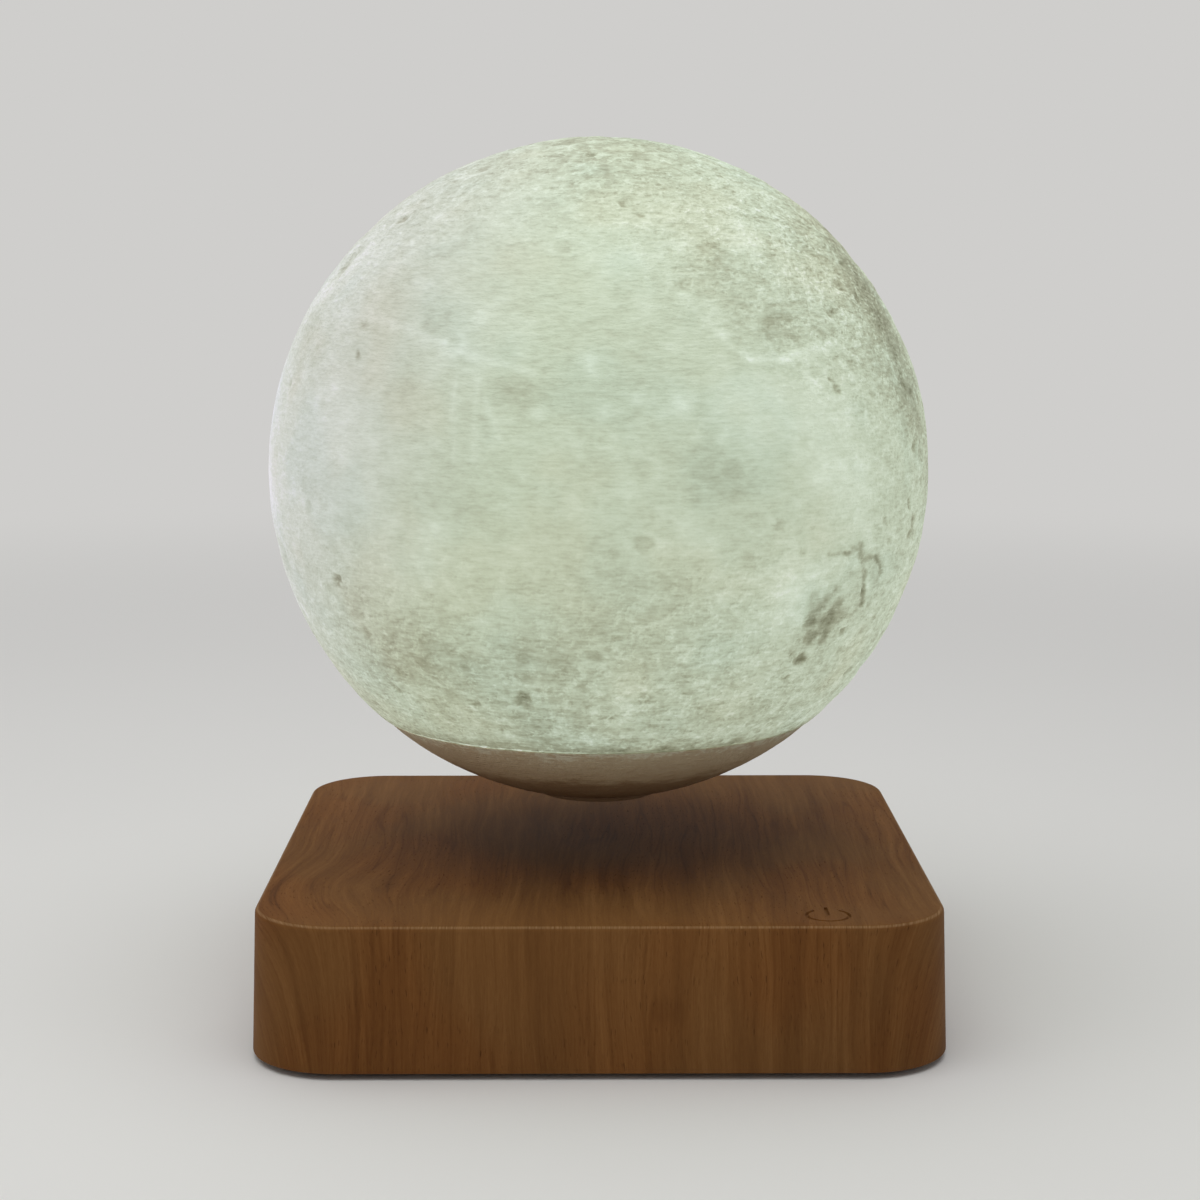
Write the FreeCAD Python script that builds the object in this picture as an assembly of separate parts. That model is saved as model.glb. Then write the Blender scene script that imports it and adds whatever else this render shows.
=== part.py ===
# Levitating moon lamp: a glowing printed moon floats over a square base with a wood-grain skin.
#
# Millimetres, +Z up. The origin is on the table, under the centre of the base.
# -Y is the front, where the touch mark is, and +Y is the back, where the power socket is.
# The base holds a levitation module: a ring of block magnets, four steering coils and a flat transmit coil.
# The moon holds the lift magnet, a receive coil and a board of lamps, on one upright axis with the base.

import FreeCAD, Part
import math
import os

Vector = FreeCAD.Vector
UP = Vector(0, 0, 1)
BACK = Vector(0, 1, 0)

# ---- driving dimensions of the base ----
BASE_WIDTH = 160.0              # across the top face, both ways
SIDE_DRAFT = 1.0                # each side stands out this much more at its foot
BASE_HEIGHT = 34.0              # housing only, without the feet
CORNER_RADIUS = 19.5            # upright corners, at the top face
TOP_CHAMFER = 1.0
WALL = 3.0                      # at the top face
ROOF = 2.5
FOOT_HEIGHT = 1.5               # daylight under the housing
FOOT_RADIUS = 7.0
FOOT_OFFSET = 56.0              # from both centre lines

# ---- driving dimensions of the moon ----
MOON_RADIUS = 82.5
MOON_WALL = 2.2
SEAM_DEPTH = 61.5               # the seam's plane, below the moon's centre
SEAT_DEPTH = 81.0               # the flat on the moon's underside, below its centre
PAD_RADIUS = 15.0
PAD_THICKNESS = 1.0
FLOAT_GAP = 13.7                # air between the landing pad and the base

# ---- facets of the printed globe ----
GLOBE_GORES = 44
GLOBE_BANDS = 17
CAP_BANDS = 5
LINING_BANDS = 7
CAP_LINING_BANDS = 2

# ---- clearances ----
SLIP = 0.05                     # radial, round a piece that slides or is pressed in
EASY = 0.25                     # round a piece that drops in

# ---- heights worked out from the driving dimensions ----
HOUSING_FOOT = FOOT_HEIGHT
HOUSING_TOP = HOUSING_FOOT + BASE_HEIGHT
CEILING = HOUSING_TOP - ROOF
COVER_THICKNESS = 2.0
COVER_TOP = HOUSING_FOOT + COVER_THICKNESS
BOARD_THICKNESS = 1.6
BOARD_FLOOR = COVER_TOP + 2.7
BOARD_TOP = BOARD_FLOOR + BOARD_THICKNESS
TRAY_THICKNESS = 2.0
TRAY_FLOOR = BOARD_TOP + 2.4
TRAY_TOP = TRAY_FLOOR + TRAY_THICKNESS
TRAY_RIM = CEILING - 4.8
MOON_CENTRE = HOUSING_TOP + FLOAT_GAP + PAD_THICKNESS + SEAT_DEPTH
SEAT = MOON_CENTRE - SEAT_DEPTH
SEAM = MOON_CENTRE - SEAM_DEPTH
INNER_RADIUS = MOON_RADIUS - MOON_WALL

# ---- the touch mark, engraved in the top face ----
MARK_X = 52.1
MARK_Y = -70.6
MARK_RADIUS = 4.85              # to the middle of its line
MARK_LINE = 0.9
MARK_DEPTH = 0.5
MARK_HALF_GAP = 36.0            # degrees, each side of the opening at the back of the ring
MARK_BAR = 6.6

# ---- cavity and cover ----
CAVITY_HALF = BASE_WIDTH / 2 - WALL
CAVITY_CORNER = CORNER_RADIUS - WALL + 1.0
COVER_HALF = CAVITY_HALF - EASY
SCREW_X = 66.0
SCREW_Y = -66.0
SCREW_RADIUS = 1.45
SCREW_HEAD_RADIUS = 2.8
SCREW_REACH = 7.0               # above the cover
BOSS_RADIUS = 3.6
HOOK_X = 45.0
HOOK_WIDTH = 12.0
HOOK_HEIGHT = 1.5
HOOK_REACH = 2.0
RIB_Y = 40.0                    # the ribs that pinch the board, on both side walls
RIB_WIDTH = 2.0
RIB_END_X = 67.0
SLOT_SIZE = (26.0, 2.0)
SLOT_PITCH = 5.0
SLOT_COUNT = 7
SLOT_X = 34.0

# ---- power socket, for a plug 5.5 mm across with a 2.1 mm hole ----
SOCKET_Z = BOARD_TOP + 6.5
SOCKET_WIDTH = 9.0
SOCKET_HEIGHT = 11.0
SOCKET_LENGTH = 14.0
SOCKET_BORE_RADIUS = 3.15
SOCKET_BORE_DEPTH = 10.0
SOCKET_PIN_RADIUS = 1.0
SOCKET_PIN_LENGTH = 9.3
SOCKET_FACE = CAVITY_HALF - 0.1
WINDOW_RADIUS = 6.0             # hole in the housing, wide enough for the plug's body

# ---- circuit board ----
BOARD_HALF = 72.0
BOARD_CORNER = 20.0
SINK_X = -71.0
CHIP_ROW_Y = -66.0
CAN_RADIUS = 4.0
CAN_HEIGHT = 13.0

# ---- levitation module ----
TRAY_HALF = 59.0
TRAY_CORNER = 26.0
TRAY_WALL = 2.0
CLIP_X = 30.0
CLIP_Y = 55.0
CLIP_SIZE = (5.0, 2.0)
CLIP_HOOK = 1.2
MAGNET_COUNT = 12
MAGNET_ORBIT = 48.0
MAGNET_SIZE = (12.0, 20.0, 14.0)    # radial, along the ring, upright
COIL_ORBIT = 24.0
COIL_RADIUS = 12.5
COIL_BORE_RADIUS = 5.5
COIL_HEIGHT = 14.5
PEG_WIDTH = 1.8
SENSOR_POST = 6.0
SENSOR_FLOOR = TRAY_TOP + 8.0
CARRIER_THICKNESS = 1.0
TRANSMIT_RADIUS = 48.0
TRANSMIT_BORE = 30.0
FLAT_COIL_HEIGHT = 2.0
HEADER_HEIGHT = 5.0

# ---- inside the moon ----
LIP_RADIUS = 50.2
LIP_WALL = 1.6
LIP_HEIGHT = 4.0
FLANGE_THICKNESS = 2.4
CAP_FLOOR = MOON_CENTRE - 76.0
LIFT_MAGNET_RADIUS = 22.0
LIFT_MAGNET_HEIGHT = 10.0
HOLDER_HALF = 29.0
HOLDER_FLOOR = CAP_FLOOR + 3.0
HOLDER_HEIGHT = 6.0
HOLDER_PLATE_HALF = 37.0
HOLDER_PLATE = 1.2
RECEIVE_RADIUS = 37.0
RECEIVE_BORE = 25.0
LAMP_BOARD_RADIUS = 47.6
LAMP_BOARD_FLOOR = SEAM - 1.1
LAMP_BOARD_TOP = LAMP_BOARD_FLOOR + BOARD_THICKNESS
LAMP_RIB_ANGLES = (30, 150, 270)
LAMP_SIZE = (3.5, 2.8, 1.2)
LAMP_RINGS = ((12, 32.0), (4, 13.0))    # how many, on what radius

OCTAGON = math.tan(math.radians(22.5))  # half a side of a regular octagon, over its half width


# ---- shape helpers ----

def cylinder(radius, low, high, x=0.0, y=0.0):
    """An upright cylinder between two heights."""
    return Part.makeCylinder(radius, high - low, Vector(x, y, low), UP)


def ring(outer, inner, low, high, x=0.0, y=0.0):
    """An upright ring of rectangular section."""
    return cylinder(outer, low, high, x, y).cut(cylinder(inner, low - 1, high + 1, x, y))


def block(x_low, x_high, y_low, y_high, z_low, z_high):
    """A box between six planes."""
    return Part.makeBox(x_high - x_low, y_high - y_low, z_high - z_low, Vector(x_low, y_low, z_low))


def centred_block(width, depth, low, high, x=0.0, y=0.0):
    """A box centred on x, y, between two heights."""
    return block(x - width / 2, x + width / 2, y - depth / 2, y + depth / 2, low, high)


def turned(shape, degrees):
    """A copy of a shape, turned about the upright axis."""
    copy = shape.copy()
    copy.rotate(Vector(0, 0, 0), UP, degrees)
    return copy


def mirrored(shape):
    """A shape with its mirror image on the other side of the X = 0 plane."""
    return [shape, shape.mirror(Vector(0, 0, 0), Vector(1, 0, 0))]


def four_ways(shape):
    """A shape with its mirror images across both upright centre planes."""
    pair = mirrored(shape)
    return pair + [s.mirror(Vector(0, 0, 0), BACK) for s in pair]


def fused(shapes):
    """One solid from several that meet."""
    return shapes[0].multiFuse(shapes[1:]).removeSplitter()


def without(shape, tools):
    """A shape less several tools."""
    return shape.cut(Part.makeCompound(tools))


def rounded_square(half, radius, z):
    """A closed wire: a square of a given half width with round corners, at height z."""
    straight = half - radius
    diagonal = straight + radius * math.sqrt(0.5)
    edges = []
    for quarter in range(4):
        turn = FreeCAD.Rotation(UP, 90 * quarter)
        start, end, middle, after = [turn.multVec(Vector(x, y, z)) for x, y in (
            (half, -straight), (half, straight), (diagonal, diagonal), (straight, half))]
        edges.append(Part.LineSegment(start, end).toShape())
        edges.append(Part.Arc(end, middle, after).toShape())
    return Part.Wire(edges)


def slab(half, radius, low, high):
    """A flat slab with a rounded square outline."""
    return Part.Face(rounded_square(half, radius, low)).extrude(Vector(0, 0, high - low))


def cut_corner_slab(half, corner, low, high):
    """A flat slab with a square outline whose corners are cut off at 45 degrees."""
    side = half - corner
    outline = []
    for quarter in range(4):
        turn = FreeCAD.Rotation(UP, 90 * quarter)
        outline += [turn.multVec(Vector(half, -side, low)), turn.multVec(Vector(half, side, low))]
    return Part.Face(Part.makePolygon(outline + outline[:1])).extrude(Vector(0, 0, high - low))


def octagon_slab(half, low, high):
    """A flat slab with a regular octagon's outline."""
    return cut_corner_slab(half, half * (1 - OCTAGON), low, high)


def strip(path, thickness, width, y):
    """A flat ribbon in an XZ plane: a path of (x, z) points, given a thickness and a width along Y."""
    points = [Vector(x, y - width / 2, z) for x, z in path]
    left, right = [], []
    for n, point in enumerate(points):
        into = (point - points[n - 1]).normalize() if n else (points[1] - point).normalize()
        out = (points[n + 1] - point).normalize() if n < len(points) - 1 else into
        normal = (into + out).normalize().cross(BACK)
        reach = thickness / 2 / math.cos(into.getAngle(out) / 2)
        left.append(point + normal * reach)
        right.insert(0, point - normal * reach)
    outline = left + right
    return Part.Face(Part.makePolygon(outline + outline[:1])).extrude(Vector(0, width, 0))


def polygon(radius, z):
    """The corners of one level of the printed globe."""
    steps = [2 * math.pi * n / GLOBE_GORES for n in range(GLOBE_GORES)]
    return [Vector(radius * math.cos(a), radius * math.sin(a), z) for a in steps]


def flat_face(points):
    """A plane face from its corners."""
    return Part.Face(Part.makePolygon(points + points[:1]))


def faceted_lathe(profile):
    """A solid of flat facets: a closed (radius, height) profile taken round the upright axis."""
    faces = []
    for (r0, z0), (r1, z1) in zip(profile, profile[1:] + profile[:1]):
        if z0 == z1:
            inner, outer = sorted((r0, r1))
            face = flat_face(polygon(outer, z0))
            faces.append(face.cut(flat_face(polygon(inner, z0))).Faces[0] if inner > 0 else face)
            continue
        if r0 == 0 and r1 == 0:
            continue
        near, far = polygon(r0, z0), polygon(r1, z1)
        for n in range(GLOBE_GORES):
            corners = [near[n - 1], near[n]] if r0 > 0 else [near[n]]
            corners += [far[n], far[n - 1]] if r1 > 0 else [far[n]]
            faces.append(flat_face(corners))
    solid = Part.Solid(Part.Shell(faces))
    return solid if solid.Volume > 0 else solid.reversed()


def meridian(radius, low, high, bands):
    """Points (radius, height) up a sphere about the moon's centre, at equal angles from low to high."""
    start = math.asin((low - MOON_CENTRE) / radius)
    end = math.asin(min((high - MOON_CENTRE) / radius, 1.0))
    angles = [start + (end - start) * n / bands for n in range(bands + 1)]
    points = [(radius * math.cos(a), MOON_CENTRE + radius * math.sin(a)) for a in angles]
    points[0] = (points[0][0], low)
    points[-1] = (0.0 if end == math.pi / 2 else points[-1][0], high)
    return points


# ---- base: shell, cover, screws and feet ----

def touch_mark():
    """The engraved on-off mark: a ring that is open at the back, with a bar through the opening."""
    low, high = HOUSING_TOP - MARK_DEPTH, HOUSING_TOP + 1
    outer = MARK_RADIUS + MARK_LINE / 2
    circle = ring(outer, outer - MARK_LINE, low, high, MARK_X, MARK_Y)
    reach = 2 * MARK_RADIUS
    spread = reach * math.tan(math.radians(MARK_HALF_GAP))
    wedge = flat_face([Vector(MARK_X, MARK_Y, low), Vector(MARK_X + spread, MARK_Y + reach, low),
                       Vector(MARK_X - spread, MARK_Y + reach, low)]).extrude(Vector(0, 0, high - low))
    bar = centred_block(MARK_LINE, MARK_BAR, low, high, MARK_X, MARK_Y + MARK_BAR / 2)
    return [circle.cut(wedge), bar]


def housing_shell():
    """The drafted box, open below, with its top edge eased."""
    def outline(z, inset):
        lean = SIDE_DRAFT * (HOUSING_TOP - z) / BASE_HEIGHT - inset
        return rounded_square(BASE_WIDTH / 2 + lean, CORNER_RADIUS + lean, z)
    levels = [(HOUSING_FOOT, 0.0), (HOUSING_TOP - TOP_CHAMFER, 0.0), (HOUSING_TOP, TOP_CHAMFER)]
    outer = Part.makeLoft([outline(z, inset) for z, inset in levels], True, True)
    return outer.cut(slab(CAVITY_HALF, CAVITY_CORNER, HOUSING_FOOT - 1, CEILING))


def base_housing():
    """The moulded shell with its screw bosses, pinch ribs, hook pockets, socket window and touch mark."""
    rooted = CEILING + 1
    boss = cylinder(BOSS_RADIUS, COVER_TOP, rooted, SCREW_X, SCREW_Y)
    gusset = block(SCREW_X, CAVITY_HALF + 1, SCREW_Y - 0.8, SCREW_Y + 0.8, COVER_TOP + 6, rooted)
    rib = block(RIB_END_X, CAVITY_HALF + 1, RIB_Y - RIB_WIDTH / 2, RIB_Y + RIB_WIDTH / 2, BOARD_TOP, rooted)
    shell = fused([housing_shell()] + mirrored(boss) + mirrored(gusset) + four_ways(rib))
    hole = cylinder(SCREW_RADIUS + SLIP, COVER_TOP - 1, COVER_TOP + SCREW_REACH + 1, SCREW_X, SCREW_Y)
    pocket = centred_block(HOOK_WIDTH + 2 * EASY, 2 * (HOOK_REACH + EASY), COVER_TOP - 0.1,
                           COVER_TOP + HOOK_HEIGHT + 0.1, HOOK_X, CAVITY_HALF)
    window = Part.makeCylinder(WINDOW_RADIUS, 3 * WALL, Vector(0, CAVITY_HALF - 1, SOCKET_Z), BACK)
    return without(shell, mirrored(hole) + mirrored(pocket) + touch_mark() + [window])


def bottom_cover():
    """The plate under the base: two hooks at the back, two screws in front, props for the board and slots."""
    plate = slab(COVER_HALF, CAVITY_CORNER - EASY, HOUSING_FOOT, COVER_TOP)
    hook = block(HOOK_X - HOOK_WIDTH / 2, HOOK_X + HOOK_WIDTH / 2, COVER_HALF - 5, CAVITY_HALF + HOOK_REACH,
                 COVER_TOP, COVER_TOP + HOOK_HEIGHT)
    prop = centred_block(4.0, 4.0, COVER_TOP, BOARD_FLOOR, RIB_END_X + 2.5, RIB_Y)
    cover = fused([plate] + mirrored(hook) + four_ways(prop))
    countersink = Part.makeCone(SCREW_HEAD_RADIUS + SLIP, SCREW_RADIUS + SLIP, COVER_THICKNESS,
                                Vector(SCREW_X, SCREW_Y, HOUSING_FOOT), UP)
    slots = []
    for n in range(SLOT_COUNT):
        y = SLOT_PITCH * (n - SLOT_COUNT // 2)
        slots += mirrored(centred_block(*SLOT_SIZE, HOUSING_FOOT - 1, COVER_TOP + 1, SLOT_X, y))
    return without(cover, mirrored(countersink) + slots)


def cover_screws():
    """Two countersunk screws at the cover's front corners."""
    under_cover = Vector(SCREW_X, SCREW_Y, HOUSING_FOOT)
    head = Part.makeCone(SCREW_HEAD_RADIUS, SCREW_RADIUS, COVER_THICKNESS, under_cover, UP)
    shank = cylinder(SCREW_RADIUS, COVER_TOP, COVER_TOP + SCREW_REACH, SCREW_X, SCREW_Y)
    return Part.makeCompound(mirrored(fused([head, shank])))


def rubber_feet():
    """Four round feet stuck under the cover."""
    return Part.makeCompound(four_ways(cylinder(FOOT_RADIUS, 0, HOUSING_FOOT, FOOT_OFFSET, FOOT_OFFSET)))


# ---- base: circuit board and power socket ----

def main_board():
    """The driver board: cut corners clear the bosses, and four slots take the tray's clips."""
    board = cut_corner_slab(BOARD_HALF, BOARD_CORNER, BOARD_FLOOR, BOARD_TOP)
    width, depth = CLIP_SIZE
    slot = centred_block(width + 2 * EASY, depth + 2 * EASY, BOARD_FLOOR - 1, BOARD_TOP + 1, CLIP_X, CLIP_Y)
    return without(board, four_ways(slot))


def dc_socket():
    """The barrel socket's moulded body, with its round mouth facing back."""
    body = block(-SOCKET_WIDTH / 2, SOCKET_WIDTH / 2, SOCKET_FACE - SOCKET_LENGTH, SOCKET_FACE,
                 BOARD_TOP, BOARD_TOP + SOCKET_HEIGHT)
    top_edges = [e for e in body.Edges if e.BoundBox.ZMin > BOARD_TOP + 1 and e.BoundBox.YLength > 1]
    mouth = Part.makeCylinder(SOCKET_BORE_RADIUS, SOCKET_BORE_DEPTH + 1,
                              Vector(0, SOCKET_FACE - SOCKET_BORE_DEPTH, SOCKET_Z), BACK)
    return body.makeChamfer(1.0, top_edges).cut(mouth)


def dc_socket_pin():
    """The socket's centre contact, standing on the bottom of its bore."""
    root = Vector(0, SOCKET_FACE - SOCKET_BORE_DEPTH, SOCKET_Z)
    return Part.makeCylinder(SOCKET_PIN_RADIUS, SOCKET_PIN_LENGTH, root, BACK)


def heat_sink():
    """A plate with three fins, on the board's left edge."""
    length, thickness, fin_reach, fin = 60.0, 2.0, 3.0, 1.2
    pieces = [block(SINK_X, SINK_X + thickness, -length / 2, length / 2, BOARD_TOP, BOARD_TOP + 21)]
    for height in (7.0, 13.0, 19.0):
        pieces.append(block(SINK_X - fin_reach, SINK_X, -length / 2, length / 2,
                            BOARD_TOP + height, BOARD_TOP + height + fin))
    return fused(pieces)


def drive_transistors():
    """Four power transistors, tab side to the heat sink, each on three legs."""
    back = SINK_X + 2.0
    solids = []
    for n in range(4):
        y = 14.0 * (n - 1.5)
        tab = block(back, back + 1.3, y - 5, y + 5, BOARD_TOP + 3, BOARD_TOP + 18.5)
        body = block(back, back + 4.4, y - 5, y + 5, BOARD_TOP + 3, BOARD_TOP + 12)
        legs = [centred_block(0.6, 0.8, BOARD_TOP, BOARD_TOP + 4, back + 2.1, y + step)
                for step in (-2.5, 0, 2.5)]
        solids.append(fused([tab, body] + legs))
    return Part.makeCompound(solids)


def filter_capacitors():
    """Two electrolytic cans, one near the socket and one near the transistors."""
    return Part.makeCompound([cylinder(CAN_RADIUS, BOARD_TOP, BOARD_TOP + CAN_HEIGHT, x, y)
                              for x, y in ((64.0, 15.0), (-45.0, -65.5))])


def control_chips():
    """The controller and its amplifiers, in a row along the board's front edge."""
    rows = ((-26.0, 6.0, 5.0), (-14.0, 6.0, 5.0), (0.0, 8.0, 8.0), (14.0, 6.0, 5.0), (26.0, 6.0, 5.0))
    return Part.makeCompound([centred_block(w, d, BOARD_TOP, BOARD_TOP + 1.2, x, CHIP_ROW_Y)
                              for x, w, d in rows])


# ---- base: levitation module ----

def coil_peg():
    """A cross-shaped peg that centres the steering coil to the right of the middle."""
    length = 2 * COIL_BORE_RADIUS - 1.0
    height = TRAY_TOP + COIL_HEIGHT - 2.0
    return fused([centred_block(length, PEG_WIDTH, TRAY_TOP - 0.5, height, COIL_ORBIT),
                  centred_block(PEG_WIDTH, length, TRAY_TOP - 0.5, height, COIL_ORBIT)])


def tray_clip():
    """A foot with a hooked clip that goes down through the board."""
    width, depth = CLIP_SIZE
    foot = centred_block(width + 3, depth + 2.5, BOARD_TOP, TRAY_FLOOR + 0.5, CLIP_X, CLIP_Y)
    clip = centred_block(width, depth, BOARD_FLOOR - CLIP_HOOK, BOARD_TOP + 0.5, CLIP_X, CLIP_Y)
    hook = centred_block(width, depth, BOARD_FLOOR - CLIP_HOOK, BOARD_FLOOR, CLIP_X, CLIP_Y + 1.0)
    return fused([foot, clip, hook])


def module_tray():
    """The moulded tray that seats the magnets and coils and clips onto the board."""
    outer = cut_corner_slab(TRAY_HALF, TRAY_CORNER, TRAY_FLOOR, TRAY_RIM)
    hollow = cut_corner_slab(TRAY_HALF - TRAY_WALL, TRAY_CORNER - TRAY_WALL * OCTAGON, TRAY_TOP, TRAY_RIM + 1)
    pegs = [turned(coil_peg(), 90 * n) for n in range(4)]
    post = centred_block(SENSOR_POST, SENSOR_POST, TRAY_TOP - 0.5, SENSOR_FLOOR)
    return fused([outer.cut(hollow), post] + pegs + four_ways(tray_clip()))


def base_magnets():
    """A ring of upright block magnets that carries the moon's weight."""
    radial, along, height = MAGNET_SIZE
    magnet = centred_block(radial, along, TRAY_TOP, TRAY_TOP + height, MAGNET_ORBIT)
    return Part.makeCompound([turned(magnet, 360 * n / MAGNET_COUNT) for n in range(MAGNET_COUNT)])


def coil_windings():
    """Four copper steering coils, on the X and Y axes round the sensors."""
    coil = ring(COIL_RADIUS, COIL_BORE_RADIUS, TRAY_TOP, TRAY_TOP + COIL_HEIGHT, COIL_ORBIT)
    return Part.makeCompound([turned(coil, 90 * n) for n in range(4)])


def hall_sensor_board():
    """The small board at the module's centre."""
    return centred_block(13.0, 13.0, SENSOR_FLOOR, SENSOR_FLOOR + BOARD_THICKNESS)


def hall_sensors():
    """Three magnetic sensors: one each for X and Y, standing, and one lying flat for height."""
    low = SENSOR_FLOOR + BOARD_THICKNESS
    return Part.makeCompound([centred_block(1.6, 4.0, low, low + 3, 4.2, 0),
                              centred_block(4.0, 1.6, low, low + 3, 0, 4.2),
                              centred_block(4.0, 3.0, low, low + 1.5, -1.5, -2.5)])


def coil_carrier():
    """The thin plate that closes the tray and carries the transmit coil."""
    return cut_corner_slab(TRAY_HALF - 0.5, TRAY_CORNER, TRAY_RIM, TRAY_RIM + CARRIER_THICKNESS)


def transmit_coil():
    """The flat power coil under the roof."""
    low = TRAY_RIM + CARRIER_THICKNESS
    return ring(TRANSMIT_RADIUS, TRANSMIT_BORE, low, low + FLAT_COIL_HEIGHT)


# ---- base: touch sensing and leads ----

def touch_electrode():
    """The copper foil stuck under the roof, below the mark."""
    return centred_block(11.0, 11.0, CEILING - 0.3, CEILING, MARK_X, MARK_Y)


def touch_board():
    """The small touch board behind the foil, with its chip underneath."""
    top = CEILING - 0.3
    return fused([centred_block(13.0, 11.0, top - 1.2, top, MARK_X, MARK_Y),
                  centred_block(5.0, 4.0, top - 2.2, top - 1.2, MARK_X + 2, MARK_Y)])


def lead_headers():
    """Two wire headers on the main board: one for the touch board and one for the transmit coil."""
    top = BOARD_TOP + HEADER_HEIGHT
    return Part.makeCompound([centred_block(5.0, 6.0, BOARD_TOP, top, 44.0, -66.5),
                              centred_block(5.0, 7.0, BOARD_TOP, top, 66.0, 26.0)])


def touch_lead():
    """The touch board's ribbon, down to its header."""
    x, low, high = 44.0, BOARD_TOP + HEADER_HEIGHT, CEILING - 1.5
    return strip([(x, low), (x, low + 7), (x + 4, low + 12), (x + 4, high)], 0.5, 4.0, -67.5)


def transmit_coil_lead():
    """The transmit coil's ribbon, over the carrier's edge and down to its header."""
    x, low, high = 66.0, BOARD_TOP + HEADER_HEIGHT, TRAY_RIM + CARRIER_THICKNESS + 0.25
    return strip([(x, low), (x, high - 5), (x - 5, high), (TRANSMIT_RADIUS - 5.2, high)], 0.5, 3.0, 26.0)


# ---- moon: shell, cap and pad ----

def moon_shell():
    """The printed globe above the seam, with an inward flange round its opening."""
    flange_top = SEAM + FLANGE_THICKNESS
    hole = LIP_RADIUS + EASY
    outside = meridian(MOON_RADIUS, SEAM, MOON_CENTRE + MOON_RADIUS, GLOBE_BANDS)
    lining = meridian(INNER_RADIUS, flange_top, MOON_CENTRE + INNER_RADIUS, LINING_BANDS)
    return faceted_lathe(outside + lining[::-1] + [(hole, flange_top), (hole, SEAM)])


def moon_cap():
    """The printed bottom of the moon, with the lip that enters the shell and ribs under the lamp board."""
    lip_inner = LIP_RADIUS - LIP_WALL
    lip_foot = MOON_CENTRE - math.sqrt(INNER_RADIUS ** 2 - lip_inner ** 2)
    outside = meridian(MOON_RADIUS, SEAT, SEAM, CAP_BANDS)
    lining = meridian(INNER_RADIUS, CAP_FLOOR, lip_foot, CAP_LINING_BANDS)
    lip = [(LIP_RADIUS, SEAM), (LIP_RADIUS, SEAM + LIP_HEIGHT), (lip_inner, SEAM + LIP_HEIGHT)]
    cap = faceted_lathe([(0.0, SEAT)] + outside + lip + lining[::-1] + [(0.0, CAP_FLOOR)])
    rib = block(RECEIVE_RADIUS + 2.5, lip_inner + 0.3, -1.0, 1.0, LAMP_BOARD_FLOOR - 2.0, LAMP_BOARD_FLOOR)
    return fused([cap] + [turned(rib, angle) for angle in LAMP_RIB_ANGLES])


def landing_pad():
    """The round pad that the moon stands on when it is put down."""
    return cylinder(PAD_RADIUS, SEAT - PAD_THICKNESS, SEAT)


# ---- moon: lift magnet, power pick-up and lamps ----

def lift_magnet():
    """The plated disc magnet that the base holds up."""
    return cylinder(LIFT_MAGNET_RADIUS, CAP_FLOOR, CAP_FLOOR + LIFT_MAGNET_HEIGHT)


def magnet_holder():
    """The moulded collar round the lift magnet, with a plate for the receive coil."""
    top = HOLDER_FLOOR + HOLDER_HEIGHT
    collar = fused([octagon_slab(HOLDER_HALF, HOLDER_FLOOR, top),
                    octagon_slab(HOLDER_PLATE_HALF, top, top + HOLDER_PLATE)])
    return collar.cut(cylinder(LIFT_MAGNET_RADIUS + SLIP, HOLDER_FLOOR - 1, top + HOLDER_PLATE + 1))


def receive_coil():
    """The flat coil that picks up power for the lamps."""
    low = HOLDER_FLOOR + HOLDER_HEIGHT + HOLDER_PLATE
    return ring(RECEIVE_RADIUS, RECEIVE_BORE, low, low + FLAT_COIL_HEIGHT)


def lamp_board():
    """The round board that closes off the cap, so that light goes only upwards."""
    return cylinder(LAMP_BOARD_RADIUS, LAMP_BOARD_FLOOR, LAMP_BOARD_TOP)


def lamps():
    """The lamps, in two rings, all facing up."""
    width, depth, height = LAMP_SIZE
    solids = []
    for count, orbit in LAMP_RINGS:
        lamp = centred_block(width, depth, LAMP_BOARD_TOP, LAMP_BOARD_TOP + height, orbit)
        solids += [turned(lamp, 360 * n / count) for n in range(count)]
    return Part.makeCompound(solids)


def receiver_parts():
    """Rectifier, regulator and choke under the lamp board."""
    top = LAMP_BOARD_FLOOR
    return Part.makeCompound([centred_block(6.0, 5.0, top - 1.4, top, -12.0, 6.0),
                              centred_block(5.0, 4.0, top - 1.4, top, 10.0, 9.0),
                              centred_block(7.0, 7.0, top - 2.4, top, 0.0, -10.0)])


# ---- the assembly: one file for each piece, named after the function that makes it ----

PIECES = (
    base_housing, bottom_cover, cover_screws, rubber_feet,
    main_board, dc_socket, dc_socket_pin, heat_sink, drive_transistors, filter_capacitors, control_chips,
    module_tray, base_magnets, coil_windings, hall_sensor_board, hall_sensors, coil_carrier, transmit_coil,
    touch_electrode, touch_board, lead_headers, touch_lead, transmit_coil_lead,
    moon_shell, moon_cap, landing_pad,
    lift_magnet, magnet_holder, receive_coil, lamp_board, lamps, receiver_parts,
)

os.makedirs("parts", exist_ok=True)
for piece in PIECES:
    shape = piece()
    shape.exportStep(os.path.join("parts", piece.__name__ + ".step"))
    print(piece.__name__, len(shape.Solids), "solids, valid", shape.isValid(), "volume", round(shape.Volume))
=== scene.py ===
"""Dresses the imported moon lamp: a printed globe, lit from inside, over a base with a wood-grain skin.

Metres, +Z up, the front towards -Y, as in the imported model. Sizes in the classes are millimetres.
"""

from __future__ import annotations

import logging
import math
from collections.abc import Callable, Iterator
from contextlib import contextmanager
from dataclasses import dataclass
from enum import Enum

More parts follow.
